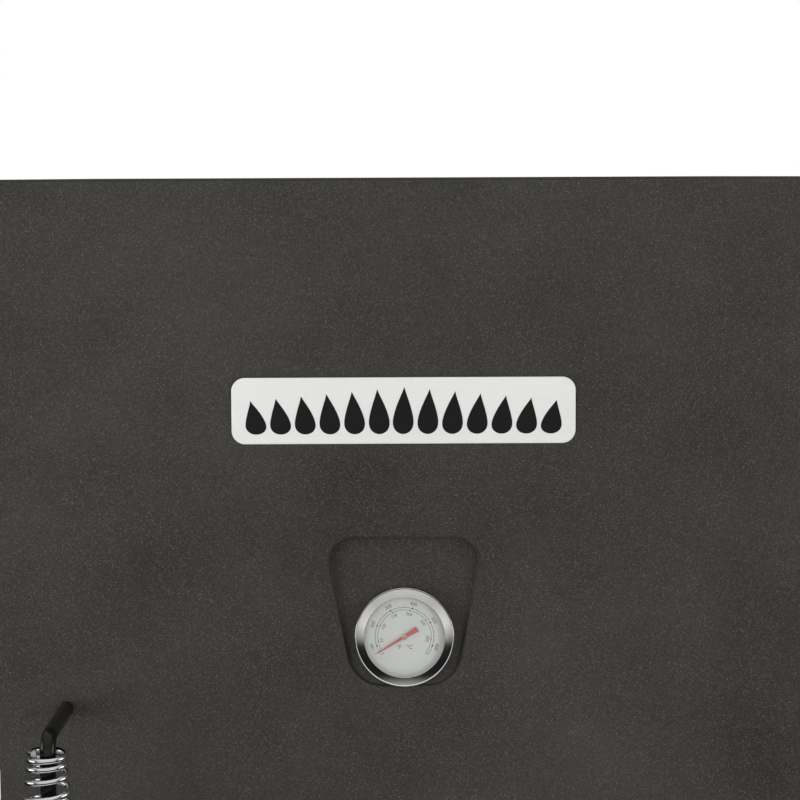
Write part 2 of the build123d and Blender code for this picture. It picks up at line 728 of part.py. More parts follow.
lead_radius = 1.6
lead_start_y = valve_front_y + 18.0
with BuildPart() as igniter_lead:
    with BuildLine() as lead_route:
        FilletPolyline(
            (-valve_width / 2, lead_start_y, valve_z), (igniter_x, lead_start_y, valve_z),
            (igniter_x, igniter_rear_y - 20.0, igniter_z), (igniter_x, igniter_rear_y, igniter_z), radius=8.0,
        )
    with BuildSketch(Plane(origin=(-valve_width / 2, lead_start_y, valve_z), z_dir=(-1, 0, 0))):
        Circle(lead_radius)
    sweep()
save(igniter_lead, "igniter_lead")

# ---------------------------------------------------------------- valve stem, knob and its ring
knob_rear_y = frame_y - knob_ring_thickness - knob_gap
knob_grip_radius = 18.5
knob_skirt = 6.0
knob_grip_width = 9.0
knob_cap = 7.0              # plastic left in front of the stem with the knob pushed in
stem_in_knob = knob_height - knob_travel - knob_cap
stem_flat_margin = 1.0      # the stem's flat runs on behind the pushed-in knob
stem_flat = 2.1             # axis to the stem's flat
stem_rear_y = frame_y - valve_nose + stem_seat
stem_flat_start_y = knob_rear_y + knob_travel + stem_flat_margin


def d_section(radius, flat):
    """A round shaft's section with a flat on its upper side."""
    with BuildSketch() as section:
        Circle(radius)
        with Locations((0, flat + radius)):
            Rectangle(4 * radius, 2 * radius, mode=Mode.SUBTRACT)
    return section.sketch


with BuildPart() as valve_stem:
    with BuildSketch(facing_front(stem_rear_y)):
        with Locations((0, valve_z)):
            Circle(stem_shaft_radius)
    extrude(amount=stem_rear_y - stem_flat_start_y)
    with BuildSketch(facing_front(stem_flat_start_y)):
        with Locations((0, valve_z)):
            add(d_section(stem_shaft_radius, stem_flat))
    extrude(amount=stem_flat_start_y - knob_rear_y + stem_in_knob)
save(valve_stem, "valve_stem")

with BuildPart() as control_knob:
    with BuildSketch(facing_front(knob_rear_y)):
        with Locations((0, valve_z)):
            Circle(knob_radius)
    extrude(amount=knob_skirt)
    with BuildSketch(facing_front(knob_rear_y - knob_skirt)):
        with Locations((0, valve_z)):
            Circle(knob_grip_radius)
    extrude(amount=knob_height - knob_skirt - 6.0, taper=4)
    with BuildSketch(facing_front(knob_rear_y - knob_skirt)):
        with Locations((0, valve_z)):
            SlotOverall(2 * knob_grip_radius, knob_grip_width, rotation=90)
    extrude(amount=knob_height - knob_skirt)
    fillet(control_knob.edges().group_by(Axis.Y)[0], radius=1.6)
    with BuildSketch(facing_front(knob_rear_y)):
        with Locations((0, valve_z)):
            add(d_section(stem_shaft_radius + running, stem_flat + running))
    extrude(amount=stem_in_knob + knob_travel + stem_flat_margin, mode=Mode.SUBTRACT)
save(control_knob, "control_knob")

with BuildPart() as knob_ring:
    with BuildSketch(facing_front(frame_y)):
        with Locations((0, valve_z)):
            Circle(knob_ring_radius)
            Circle(valve_nose_radius + 1.0, mode=Mode.SUBTRACT)
    extrude(amount=knob_ring_thickness)
    fillet(knob_ring.edges().group_by(Axis.Y)[0].sort_by(SortBy.LENGTH)[-1], radius=1.2)
save(knob_ring, "knob_ring")


# ---------------------------------------------------------------- dampers
def damper_disc(plane):
    """A disc with the panel's own holes, a running bore for its rivet and a bent tab."""
    with BuildPart() as disc:
        face = plane.offset(slip)
        with BuildSketch(face):
            Circle(damper_radius)
        extrude(amount=sheet)
        with Locations(face * Pos(0, sheet - damper_radius * 0.9, 0)):
            Box(14.0, sheet, sheet + damper_tab, align=(Align.CENTER, Align.CENTER, Align.MIN))
        extrude(damper_pattern(face, rivet_radius + running), amount=2 * sheet, mode=Mode.SUBTRACT)
    return disc


save(damper_disc(damper_plane(-1)), "left_damper")
save(damper_disc(damper_plane(1)), "right_damper")
save(damper_disc(exhaust_plane), "rear_damper")

with BuildPart() as damper_rivets:
    for plane in (damper_plane(-1), damper_plane(1), exhaust_plane):
        outer = slip + sheet + slip
        with Locations(plane.offset(-sheet)):
            Cylinder(rivet_radius, sheet + outer, align=(Align.CENTER, Align.CENTER, Align.MIN))
            Cylinder(rivet_head_radius, rivet_head, align=(Align.CENTER, Align.CENTER, Align.MAX))
        with Locations(plane.offset(outer)):
            Cylinder(rivet_head_radius, rivet_head, align=(Align.CENTER, Align.CENTER, Align.MIN))
save(damper_rivets, "damper_rivets")

# ---------------------------------------------------------------- side handles
side_stud_length = 12.0
side_foot_thickness = 3.0
for side in (-1, 1):
    start_x = side * (body_half + side_foot_thickness)
    out_x = side * (body_half + side_handle_reach)
    near_y, far_y = side_handle_ys
    with BuildPart() as side_handle:
        with BuildLine():
            FilletPolyline(
                (start_x, near_y, side_handle_z), (out_x, near_y, side_handle_z),
                (out_x, far_y, side_handle_z), (start_x, far_y, side_handle_z), radius=side_handle_bend,
            )
        with BuildSketch(Plane(origin=(start_x, near_y, side_handle_z), z_dir=(side, 0, 0))):
            Circle(side_handle_radius)
        sweep()
        for y in side_handle_ys:
            with Locations(Plane(origin=(side * body_half, y, side_handle_z), z_dir=(side, 0, 0))):
                Cylinder(side_handle_foot, side_foot_thickness, align=(Align.CENTER, Align.CENTER, Align.MIN))
                Cylinder(bolt_radius, side_stud_length, align=(Align.CENTER, Align.CENTER, Align.MAX))
    save(side_handle, f"{side_name(side)}_side_handle")

with BuildPart() as cabinet_nuts:
    leg_faces = [outward.offset(-leg_grip) for outward in leg_bolt_planes()]
    handle_faces = [
        Plane(origin=(side * inside_half, y, side_handle_z), z_dir=(side, 0, 0))
        for side in (-1, 1) for y in side_handle_ys
    ]
    for inner_face in leg_faces + handle_faces:
        with BuildSketch(inner_face):
            RegularPolygon(bolt_nut_width / 2, 6, major_radius=False)
            Circle(bolt_radius, mode=Mode.SUBTRACT)
        extrude(amount=-bolt_nut)
save(cabinet_nuts, "cabinet_nuts")

# ---------------------------------------------------------------- hinges
hinge_x = door_width / 2 + hinge_reach
hinge_y = frame_y - hinge_set
hinge_levels = (door_top_z - hinge_inset, door_bottom_z + hinge_inset)
bracket_set_back = 5.0      # front frame's face to the bracket's plate
bracket_start_y = frame_y + bracket_set_back
bracket_thickness = 3.0
knuckle_height = hinge_height - 2 * hinge_ear - 2 * slip
hinge_leaf_thickness = 3.0
hinge_leaf_margin = 4.0     # leaf's edge to the door's face
with BuildPart() as hinge_brackets:
    for level in hinge_levels:
        with BuildSketch(Plane.XY.offset(level - hinge_height / 2)):
            with BuildLine():
                Polyline(
                    (hinge_x - hinge_barrel, hinge_y), (hinge_x - hinge_barrel, bracket_start_y),
                    (body_half, bracket_start_y), (body_half, bracket_start_y + hinge_plate_length),
                    (body_half + bracket_thickness, bracket_start_y + hinge_plate_length),
                    (hinge_x + hinge_barrel, hinge_y + hinge_barrel), (hinge_x + hinge_barrel, hinge_y),
                    close=True,
                )
            make_face()
            with Locations((hinge_x, hinge_y)):
                Circle(hinge_barrel)
                Circle(hinge_pin_radius, mode=Mode.SUBTRACT)
        extrude(amount=hinge_height)
        low_z = level - hinge_height / 2 + hinge_ear
        high_z = level + hinge_height / 2 - hinge_ear
        knuckle_end_x = hinge_x + 2 * hinge_barrel
        box((body_half, door_face_y, low_z), (knuckle_end_x, bracket_start_y, high_z), mode=Mode.SUBTRACT)
        box((body_half + bracket_thickness, door_face_y, low_z), (knuckle_end_x, back_y, high_z),
            mode=Mode.SUBTRACT)
save(hinge_brackets, "hinge_brackets")

leaf_front_y = door_face_y + hinge_leaf_margin
leaf_rear_y = hinge_y + hinge_barrel / 2
with BuildPart() as door_hinges:
    for level in hinge_levels:
        with BuildSketch(Plane.XY.offset(level - knuckle_height / 2)):
            with Locations((hinge_x, hinge_y)):
                Circle(hinge_barrel)
            with Locations((door_width / 2 + hinge_leaf_thickness / 2, (leaf_front_y + leaf_rear_y) / 2)):
                Rectangle(hinge_leaf_thickness, leaf_rear_y - leaf_front_y)
            with Locations((hinge_x, hinge_y)):
                Circle(hinge_pin_radius + running, mode=Mode.SUBTRACT)
        extrude(amount=knuckle_height)
save(door_hinges, "door_hinges")

pin_head_radius = 5.0
pin_head = 2.0
with BuildPart() as hinge_pins:
    for level in hinge_levels:
        with Locations((hinge_x, hinge_y, level)):
            Cylinder(hinge_pin_radius, hinge_height)
        with Locations((hinge_x, hinge_y, level + hinge_height / 2)):
            Cylinder(pin_head_radius, pin_head, align=(Align.CENTER, Align.CENTER, Align.MIN))
        with Locations((hinge_x, hinge_y, level - hinge_height / 2)):
            Cylinder(pin_head_radius, pin_head, align=(Align.CENTER, Align.CENTER, Align.MAX))
save(hinge_pins, "hinge_pins")

# ---------------------------------------------------------------- door skin with its stamped recess
recess_top_z = top_z - recess_top_drop
recess_bottom_z = recess_top_z - recess_height
gauge_z = top_z - gauge_drop
lean = math.radians(recess_tilt)
recess_normal = (0, -math.cos(lean), math.sin(lean))
recess_floor = Plane(
    origin=(0, door_face_y + recess_shallow, recess_bottom_z), x_dir=(1, 0, 0), z_dir=recess_normal)
gauge_y = door_face_y + recess_shallow + (gauge_z - recess_bottom_z) * math.tan(lean)
gauge_plane = Plane(origin=(0, gauge_y, gauge_z), x_dir=(1, 0, 0), z_dir=recess_normal)
handle_x = -door_width / 2 + handle_inset
handle_top_z = top_z - handle_drop
handle_leg_zs = (handle_top_z, handle_top_z - handle_length)
plate_z = top_z - plate_drop
door_plane = facing_front(door_face_y)


def recess_block(grow):
    """The stamped pocket as a solid, its outline and floor both grown by an amount."""
    with BuildPart() as block:
        with BuildSketch(door_plane) as outline:
            with BuildLine():
                Polyline(
                    (-recess_top_width / 2, recess_top_z), (recess_top_width / 2, recess_top_z),
                    (recess_bottom_width / 2, recess_bottom_z), (-recess_bottom_width / 2, recess_bottom_z),
                    close=True,
                )
            make_face()
            fillet(outline.vertices().group_by(Axis.Y)[-1], radius=recess_top_radius)
            fillet(outline.vertices().group_by(Axis.Y)[0], radius=recess_bottom_radius)
            if grow:
                offset(amount=grow)
        extrude(amount=-door_depth)
        split(bisect_by=recess_floor.offset(-grow), keep=Keep.TOP)
    return block.part


with BuildPart() as door_skin:
    with BuildSketch(door_plane):
        with Locations((0, door_middle_z)):
            RectangleRounded(door_width, door_height, door_corner)
    extrude(amount=-door_depth)
    fillet(door_skin.edges().group_by(Axis.Y)[0], radius=door_bend)
    with BuildSketch(door_plane.offset(-sheet)):
        with Locations((0, door_middle_z)):
            RectangleRounded(door_width - 2 * sheet, door_height - 2 * sheet, door_corner - sheet)
    extrude(amount=-door_depth, mode=Mode.SUBTRACT)
    add(recess_block(sheet))
    add(recess_block(0.0), mode=Mode.SUBTRACT)
    with Locations(gauge_plane):
        Cylinder(boss_radius + screw_clearance, 8 * sheet, mode=Mode.SUBTRACT)
    with BuildSketch(door_plane):
        with Locations(*[(handle_x, z) for z in handle_leg_zs]):
            Circle(rod_radius + screw_clearance)
        with Locations((-plate_pin_spacing / 2, plate_z), (plate_pin_spacing / 2, plate_z)):
            Circle(plate_pin_radius + screw_clearance)
    extrude(amount=-3 * sheet, mode=Mode.SUBTRACT)
    recess_reach = recess_top_width / 2 + recess_mouth_radius
    recess_edges = [
        edge for edge in door_skin.edges()
        if abs(edge.center().X) < recess_reach
        and recess_bottom_z - recess_mouth_radius < edge.center().Z < recess_top_z + recess_mouth_radius
        and edge.length > boss_radius / 2
    ]
    mouth_edges = [edge for edge in recess_edges if abs(edge.center().Y - door_face_y) < 0.01]
    fillet(mouth_edges, radius=recess_mouth_radius)
    floor_edges = [
        edge for edge in door_skin.edges()
        if all(abs(recess_floor.to_local_coords(edge @ share).Z) < 0.01 for share in (0, 0.5, 1))
        and (gauge_plane.to_local_coords(edge @ 0)).length > 2 * boss_radius
    ]
    fillet(floor_edges, radius=recess_floor_radius)
save(door_skin, "door_skin")

# ---------------------------------------------------------------- door liner, gasket and catch
liner_gap = 0.4             # liner's edge inside the door's sides
with BuildPart() as door_liner:
    liner_width = door_width - 2 * sheet - 2 * liner_gap
    liner_height = door_height - 2 * sheet - 2 * liner_gap
    with BuildSketch(facing_front(door_rear_y)):
        with Locations((0, door_middle_z)):
            RectangleRounded(liner_width, liner_height, door_corner - sheet - liner_gap)
    extrude(amount=liner_flange)
    with BuildSketch(facing_front(door_rear_y - liner_sheet)):
        with Locations((0, door_middle_z)):
            RectangleRounded(liner_width - 2 * liner_sheet, liner_height - 2 * liner_sheet,
                             door_corner - sheet - liner_gap - liner_sheet)
    extrude(amount=liner_flange, mode=Mode.SUBTRACT)
    with Locations(gauge_plane):
        Cylinder(boss_radius + 1.0, 2 * stem_length, mode=Mode.SUBTRACT)
save(door_liner, "door_liner")

gasket_overlap = 2.0        # opening's edge to the gasket
with BuildPart() as door_gasket:
    opening_middle_z = (opening_top_z + opening_bottom_z) / 2
    inner_w = 2 * (opening_half + gasket_overlap)
    inner_h = opening_top_z - opening_bottom_z + 2 * gasket_overlap
    with BuildSketch(facing_front(door_rear_y)):
        with Locations((0, opening_middle_z)):
            RectangleRounded(inner_w + 2 * gasket_width, inner_h + 2 * gasket_width, door_corner)
            Rectangle(inner_w, inner_h, mode=Mode.SUBTRACT)
    extrude(amount=-(seal_gap - slip))
save(door_gasket, "door_gasket")

catch_width = 13.0
catch_height = 40.0
catch_depth = 20.0
catch_stand_out = seal_gap - slip
catch_z = handle_top_z - handle_length / 2
with BuildPart() as magnetic_catch:
    box((-opening_half, frame_y - catch_stand_out, catch_z - catch_height / 2),
        (-opening_half + catch_width, frame_y - catch_stand_out + catch_depth, catch_z + catch_height / 2))
    chamfer(magnetic_catch.edges().group_by(Axis.Y)[0], length=0.8)
    box((-opening_half - frame_stile / 2, inner_front_y, catch_z - catch_height / 2),
        (-opening_half, inner_front_y + sheet, catch_z + catch_height / 2))
save(magnetic_catch, "magnetic_catch")

# ---------------------------------------------------------------- nameplate
plate_pin_length = 6.0
with BuildPart() as nameplate:
    with BuildSketch(door_plane):
        with Locations((0, plate_z)):
            RectangleRounded(plate_length, plate_height, plate_radius)
    extrude(amount=plate_thickness)
    fillet(nameplate.edges().group_by(Axis.Y)[0], radius=0.5)
    with BuildSketch(door_plane):
        with Locations((-plate_pin_spacing / 2, plate_z), (plate_pin_spacing / 2, plate_z)):
            Circle(plate_pin_radius)
    extrude(amount=-plate_pin_length)
save(nameplate, "nameplate")

# ---------------------------------------------------------------- thermometer
bezel_seat = 0.3            # bezel's rear edge off the recess floor
cup_gap = 0.15              # radial, thermometer's cup inside its bezel
cup_radius = bezel_radius - bezel_wall - cup_gap
cup_wall = 0.8
lens_seat = gauge_depth - lens_thickness - 1.0
dial_height = 4.0
needle_height = dial_height + dial_thickness + 1.0
needle_thickness = 0.4
needle_hub_radius = 2.0
with BuildPart() as thermometer_case:
    with BuildSketch(gauge_plane):
        Circle(cup_radius)
    extrude(amount=lens_seat)
    with BuildSketch(gauge_plane.offset(cup_wall)):
        Circle(cup_radius - cup_wall)
    extrude(amount=gauge_depth, mode=Mode.SUBTRACT)
    with BuildSketch(gauge_plane):
        Circle(boss_radius)
    extrude(amount=-12.0)
    with BuildSketch(gauge_plane):
        Circle(stem_radius)
    extrude(amount=-stem_length)
    fillet(thermometer_case.edges().group_by(Axis.Y)[-1], radius=1.5)
    with BuildSketch(gauge_plane):
        Circle(pivot_radius)
    extrude(amount=needle_height + needle_thickness)
save(thermometer_case, "thermometer_case")

with BuildPart() as thermometer_bezel:
    with BuildSketch(gauge_plane.offset(bezel_seat)):
        Circle(bezel_radius)
        Circle(bezel_radius - bezel_wall, mode=Mode.SUBTRACT)
    extrude(amount=gauge_depth - bezel_seat)
    with BuildSketch(gauge_plane.offset(lens_seat + lens_thickness)):
        Circle(bezel_radius)
        Circle(bezel_window, mode=Mode.SUBTRACT)
    extrude(amount=gauge_depth - lens_seat - lens_thickness)
    rim_edges = thermometer_bezel.edges().filter_by(GeomType.CIRCLE).group_by(SortBy.RADIUS)[-1]
    fillet(rim_edges.sort_by(Axis.Y)[0], radius=1.0)
save(thermometer_bezel, "thermometer_bezel")

with BuildPart() as thermometer_dial:
    with BuildSketch(gauge_plane.offset(dial_height)):
        Circle(cup_radius - cup_wall)
        Circle(pivot_radius + screw_clearance, mode=Mode.SUBTRACT)
    extrude(amount=dial_thickness)
save(thermometer_dial, "thermometer_dial")

with BuildPart() as thermometer_lens:
    with BuildSketch(gauge_plane.offset(lens_seat)):
        Circle(cup_radius)
    extrude(amount=lens_thickness)
save(thermometer_lens, "thermometer_lens")

needle_tail_half = 1.4      # half widths along the blade
needle_middle_half = 0.9
needle_tip_half = 0.15
needle_bearing = math.radians(needle_angle)
needle_x_dir = gauge_plane.x_dir * math.cos(needle_bearing) + gauge_plane.y_dir * math.sin(needle_bearing)
needle_plane = Plane(
    origin=gauge_plane.offset(needle_height).origin, x_dir=needle_x_dir, z_dir=gauge_plane.z_dir)
with BuildPart() as thermometer_needle:
    with BuildSketch(needle_plane):
        with BuildLine():
            Polyline(
                (-needle_tail, -needle_tail_half), (-needle_tail, needle_tail_half),
                (0, needle_middle_half), (needle_reach, needle_tip_half),
                (needle_reach, -needle_tip_half), (0, -needle_middle_half), close=True,
            )
        make_face()
        Circle(needle_hub_radius)
        Circle(pivot_radius + running, mode=Mode.SUBTRACT)
    extrude(amount=needle_thickness)
save(thermometer_needle, "thermometer_needle")

gauge_nut_thickness = 5.0
with BuildPart() as thermometer_nut:
    with BuildSketch(gauge_plane.offset(-sheet)):
        RegularPolygon(gauge_nut_width / 2, 6, major_radius=False)
        Circle(boss_radius, mode=Mode.SUBTRACT)
    extrude(amount=-gauge_nut_thickness)
save(thermometer_nut, "thermometer_nut")

# ---------------------------------------------------------------- door handle
rod_axis_y = door_face_y - handle_reach
rod_tail = 14.0             # rod's length behind the door's face
handle_bottom_z = handle_top_z - handle_length
with BuildPart() as handle_rod:
    with BuildLine():
        FilletPolyline(
            (handle_x, door_face_y + rod_tail, handle_top_z), (handle_x, rod_axis_y, handle_top_z),
            (handle_x, rod_axis_y, handle_bottom_z), (handle_x, door_face_y + rod_tail, handle_bottom_z),
            radius=rod_bend,
        )
    with BuildSketch(Plane(origin=(handle_x, door_face_y + rod_tail, handle_top_z), z_dir=(0, -1, 0))):
        Circle(rod_radius)
    sweep()
save(handle_rod, "handle_rod")

with BuildPart() as handle_nuts:
    for z in handle_leg_zs:
        with BuildSketch(door_plane.offset(-sheet)):
            with Locations((handle_x, z)):
                RegularPolygon(nut_width / 2, 6, major_radius=False)
                Circle(rod_radius, mode=Mode.SUBTRACT)
        extrude(amount=-nut_thickness)
save(handle_nuts, "handle_nuts")

# The wire handle grip is a barrel-shaped coil. Its solid is the barrel that the turns fill,
# with a round ridge for each turn, and it clears the rod all the way down.
coil_margin = 6.0           # leg's axis to the middle of the first turn
coil_length = handle_length - 2 * coil_margin
coil_ease = 4.0             # turns over which the ends swell to the middle


def coil_radius_at(share):
    """Distance from the rod's axis to the wire's centre, at a share of the coil's length."""
    swell = min(1.0, coil_turns * min(share, 1 - share) / coil_ease)
    return coil_end_radius + (coil_mid_radius - coil_end_radius) * math.sin(swell * math.pi / 2)


def coil_ridge(turn, wire_share):
    """A point of the barrel's outline: at the wire's outside for 1, at its centre for 0."""
    share = (turn + 0.5) / (coil_turns + 1) if wire_share else turn / (coil_turns + 1)
    radius = coil_radius_at(share) + wire_share * coil_wire_radius
    return (handle_x + radius, handle_top_z - coil_margin + coil_wire_radius - coil_solid_length * share)


coil_solid_length = coil_length + 2 * coil_wire_radius
with BuildPart() as handle_coil:
    with BuildSketch(facing_front(rod_axis_y)):
        with BuildLine():
            for turn in range(coil_turns + 1):
                ThreePointArc(coil_ridge(turn, 0), coil_ridge(turn, 1), coil_ridge(turn + 1, 0))
            bore_x = handle_x + coil_end_radius - coil_wire_radius
            first = coil_ridge(0, 0)
            last = coil_ridge(coil_turns + 1, 0)
            Polyline(first, (bore_x, first[1]), (bore_x, last[1]), last)
        make_face()
    revolve(axis=Axis((handle_x, rod_axis_y, 0), (0, 0, 1)))
save(handle_coil, "handle_coil")

# ---------------------------------------------------------------- drip tray and its runners
tray_top_z = base_z - 5.0
tray_bottom_z = tray_top_z - tray_height
tray_front_y = frame_y
tray_rim = 9.0
tray_pull_width = 90.0
runner_gap = 0.8            # radial room between the tray's rim and its runner
with BuildPart() as drip_tray:
    box((-tray_width / 2, tray_front_y + sheet, tray_bottom_z),
        (tray_width / 2, tray_front_y + tray_depth, tray_top_z))
    fillet(drip_tray.edges().filter_by(Axis.Z), radius=6.0)
    box((-tray_width / 2 - tray_rim, tray_front_y + sheet, tray_top_z - sheet),
        (tray_width / 2 + tray_rim, tray_front_y + tray_depth, tray_top_z))
    box((-tray_width / 2 + sheet, tray_front_y + 2 * sheet, tray_bottom_z + sheet),
        (tray_width / 2 - sheet, tray_front_y + tray_depth - sheet, tray_top_z + 1), mode=Mode.SUBTRACT)
    box((-body_half + edge_gap, tray_front_y, base_z - edge_gap - tray_front_height),
        (body_half - edge_gap, tray_front_y + sheet, base_z - edge_gap))
    with BuildSketch(facing_front(tray_front_y)):
        with Locations((0, base_z - edge_gap - tray_front_height / 2)):
            SlotOverall(tray_pull_width, 14.0)
    extrude(amount=9.0)
    fillet(drip_tray.edges().group_by(Axis.Y)[0], radius=3.0)
save(drip_tray, "drip_tray")

runner_length = tray_depth - 40.0
with BuildPart() as tray_runners:
    for side in (-1, 1):
        inner = tray_width / 2 + runner_gap
        outer = tray_width / 2 + tray_rim + runner_gap
        start_y = inner_front_y + 20.0
        shelf_z = tray_top_z - sheet - slip
        low, high = sorted((side * inner, side * (outer + sheet)))
        box((low, start_y, shelf_z - sheet), (high, start_y + runner_length, shelf_z))
        low, high = sorted((side * outer, side * (outer + sheet)))
        box((low, start_y, shelf_z - sheet), (high, start_y + runner_length, base_z))
        low, high = sorted((side * outer, side * (outer + runner_lip)))
        box((low, start_y, base_z - sheet), (high, start_y + runner_length, base_z))
save(tray_runners, "tray_runners")

# ---------------------------------------------------------------- panel screws
with BuildPart() as panel_screws:
    screw_planes = [
        Plane(origin=(side * cabinet_width / 2, y, z), z_dir=(side, 0, 0))
        for side in (-1, 1) for y, z in roof_screw_spots
    ] + [Plane(origin=(x, back_panel_y + sheet, z), z_dir=(0, 1, 0)) for x, z in back_screw_spots]
    with Locations(*screw_planes):
        Cylinder(screw_head_radius, screw_head, align=(Align.CENTER, Align.CENTER, Align.MIN))
        Cylinder(screw_radius, screw_length, align=(Align.CENTER, Align.CENTER, Align.MAX))
save(panel_screws, "panel_screws")
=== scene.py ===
"""Looks of the vertical water smoker, built around its CAD frame. Lengths are in metres."""
import json
import math

import bpy
from mathutils import Matrix, Vector


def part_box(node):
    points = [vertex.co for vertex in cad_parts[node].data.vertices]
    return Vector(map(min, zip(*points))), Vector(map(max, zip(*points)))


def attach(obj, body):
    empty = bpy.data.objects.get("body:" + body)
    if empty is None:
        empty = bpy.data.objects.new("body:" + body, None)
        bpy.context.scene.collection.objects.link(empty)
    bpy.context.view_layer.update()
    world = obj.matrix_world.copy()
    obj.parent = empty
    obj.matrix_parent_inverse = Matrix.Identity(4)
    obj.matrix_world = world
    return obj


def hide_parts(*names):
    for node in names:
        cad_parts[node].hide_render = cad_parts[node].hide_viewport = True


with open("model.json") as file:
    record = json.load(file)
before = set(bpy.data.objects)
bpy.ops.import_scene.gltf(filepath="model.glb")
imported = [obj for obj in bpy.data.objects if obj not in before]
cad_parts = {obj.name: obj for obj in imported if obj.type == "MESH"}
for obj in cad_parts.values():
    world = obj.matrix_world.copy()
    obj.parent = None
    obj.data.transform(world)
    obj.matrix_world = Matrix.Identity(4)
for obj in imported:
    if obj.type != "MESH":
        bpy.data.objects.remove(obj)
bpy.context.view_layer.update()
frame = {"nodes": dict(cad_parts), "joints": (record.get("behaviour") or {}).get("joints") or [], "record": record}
MM = 0.001


# ================================================================ places read from the frame
def front_middle(node):
    """The middle of a node's front face."""
    low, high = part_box(node)
    return Vector(((low[0] + high[0]) / 2, low[1], (low[2] + high[2]) / 2))


def joint(name):
    return next(j for j in frame["joints"] if j["name"] == name)


roof_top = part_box("roof_panel")[1][2]
door_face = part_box("door_skin")[0][1]
gauge_centre = Vector(joint("needle_turn")["pos_m"])
gauge_in = Vector(joint("needle_turn")["axis"]).normalized()
gauge_frame = Matrix.Translation(gauge_centre) @ gauge_in.to_track_quat("-Z", "Y").to_matrix().to_4x4()
rod_axis = Vector(joint("coil_spin")["pos_m"])


# ================================================================ materials
class Value:
    """A shader socket that can be used in Python expressions."""

    def __init__(self, finish, socket):
        self.finish = finish
        self.socket = socket

    def _maths(self, operation, *terms, clamp=False):
        node = self.finish.node("ShaderNodeMath", {"operation": operation, "use_clamp": clamp}, *terms)
        return Value(self.finish, node.outputs[0])

    def __add__(self, other):
        return self._maths("ADD", self, other)

    def __sub__(self, other):
        return self._maths("SUBTRACT", self, other)

    def __rsub__(self, other):
        return self._maths("SUBTRACT", other, self)

    def __mul__(self, other):
        return self._maths("MULTIPLY", self, other)

    def __truediv__(self, other):
        return self._maths("DIVIDE", self, other)

    def __pow__(self, other):
        return self._maths("POWER", self, other)

    __radd__ = __add__
    __rmul__ = __mul__

    def sine(self):
        return self._maths("SINE", self)

    def clamped(self):
        return self._maths("ADD", self, 0.0, clamp=True)

    def over(self, edge):
        return self._maths("GREATER_THAN", self, edge)

    def ramp(self, low, high):
        """0 below low, 1 above high, straight between."""
        return ((self - low) / (high - low)).clamped()


class Finish:
    """A material being built on one Principled shader."""

    def __init__(self, name, **sockets):
        self.material = bpy.data.materials.new(name)
        self.material.use_nodes = True
        self.tree = self.material.node_tree
        self.tree.nodes.clear()
        self.output = self.tree.nodes.new("ShaderNodeOutputMaterial")
        self.shader = self.node("ShaderNodeBsdfPrincipled", {})
        self.tree.links.new(self.shader.outputs[0], self.output.inputs["Surface"])
        self.place = Value(self, self.node("ShaderNodeTexCoord", {}).outputs["Object"])
        self.set(**sockets)

    def node(self, kind, settings, *by_order, **by_name):
        """Add a node: its settings first, then values or links for its sockets."""
        node = self.tree.nodes.new(kind)
        for key, value in settings.items():
            if key == "stops":
                ramp = node.color_ramp
                while len(ramp.elements) < len(value):
                    ramp.elements.new(1.0)
                for element, (position, colour) in zip(ramp.elements, value):
                    element.position = position
                    element.color = colour
            else:
                setattr(node, key, value)
        for index, value in enumerate(by_order):
            self.feed(node.inputs[index], value)
        for name, value in by_name.items():
            self.feed(node.inputs[name.replace("_", " ")], value)
        return node

    def feed(self, socket, value):
        if isinstance(value, Value):
            self.tree.links.new(value.socket, socket)
        elif value is not None:
            socket.default_value = value

    def set(self, **sockets):
        for name, value in sockets.items():
            self.feed(self.shader.inputs[name.replace("_", " ")], value)
        return self

    def stretched(self, scale, place=None, rotation=(0, 0, 0), location=(0, 0, 0)):
        node = self.node("ShaderNodeMapping", {}, Vector=place or self.place, Location=location,
                         Rotation=rotation, Scale=scale)
        return Value(self, node.outputs[0])

    def axis(self, letter, place=None):
        node = self.node("ShaderNodeSeparateXYZ", {}, place or self.place)
        return Value(self, node.outputs[letter])

    def noise(self, scale, detail=2.0, roughness=0.5, place=None):
        node = self.node("ShaderNodeTexNoise", {}, Vector=place or self.place, Scale=scale, Detail=detail,
                         Roughness=roughness)
        return Value(self, node.outputs["Factor" if "Factor" in node.outputs else "Fac"])

    def cells(self, scale, place=None, feature="F1", output="Distance"):
        node = self.node("ShaderNodeTexVoronoi", {"feature": feature}, Vector=place or self.place,
                         Scale=scale)
        return Value(self, node.outputs[output])

    def blend(self, mask, low, high):
        """A colour between two colours."""
        node = self.node("ShaderNodeMix", {"data_type": "RGBA"})
        self.feed(node.inputs[0], mask)
        for index, colour in ((6, low), (7, high)):
            self.feed(node.inputs[index], colour if isinstance(colour, Value) else (*colour, 1.0))
        return Value(self, node.outputs[2])

    def bump(self, height, depth, strength=1.0):
        node = self.node("ShaderNodeBump", {}, Height=height, Distance=depth, Strength=strength)
        self.set(Normal=Value(self, node.outputs[0]))
        return self


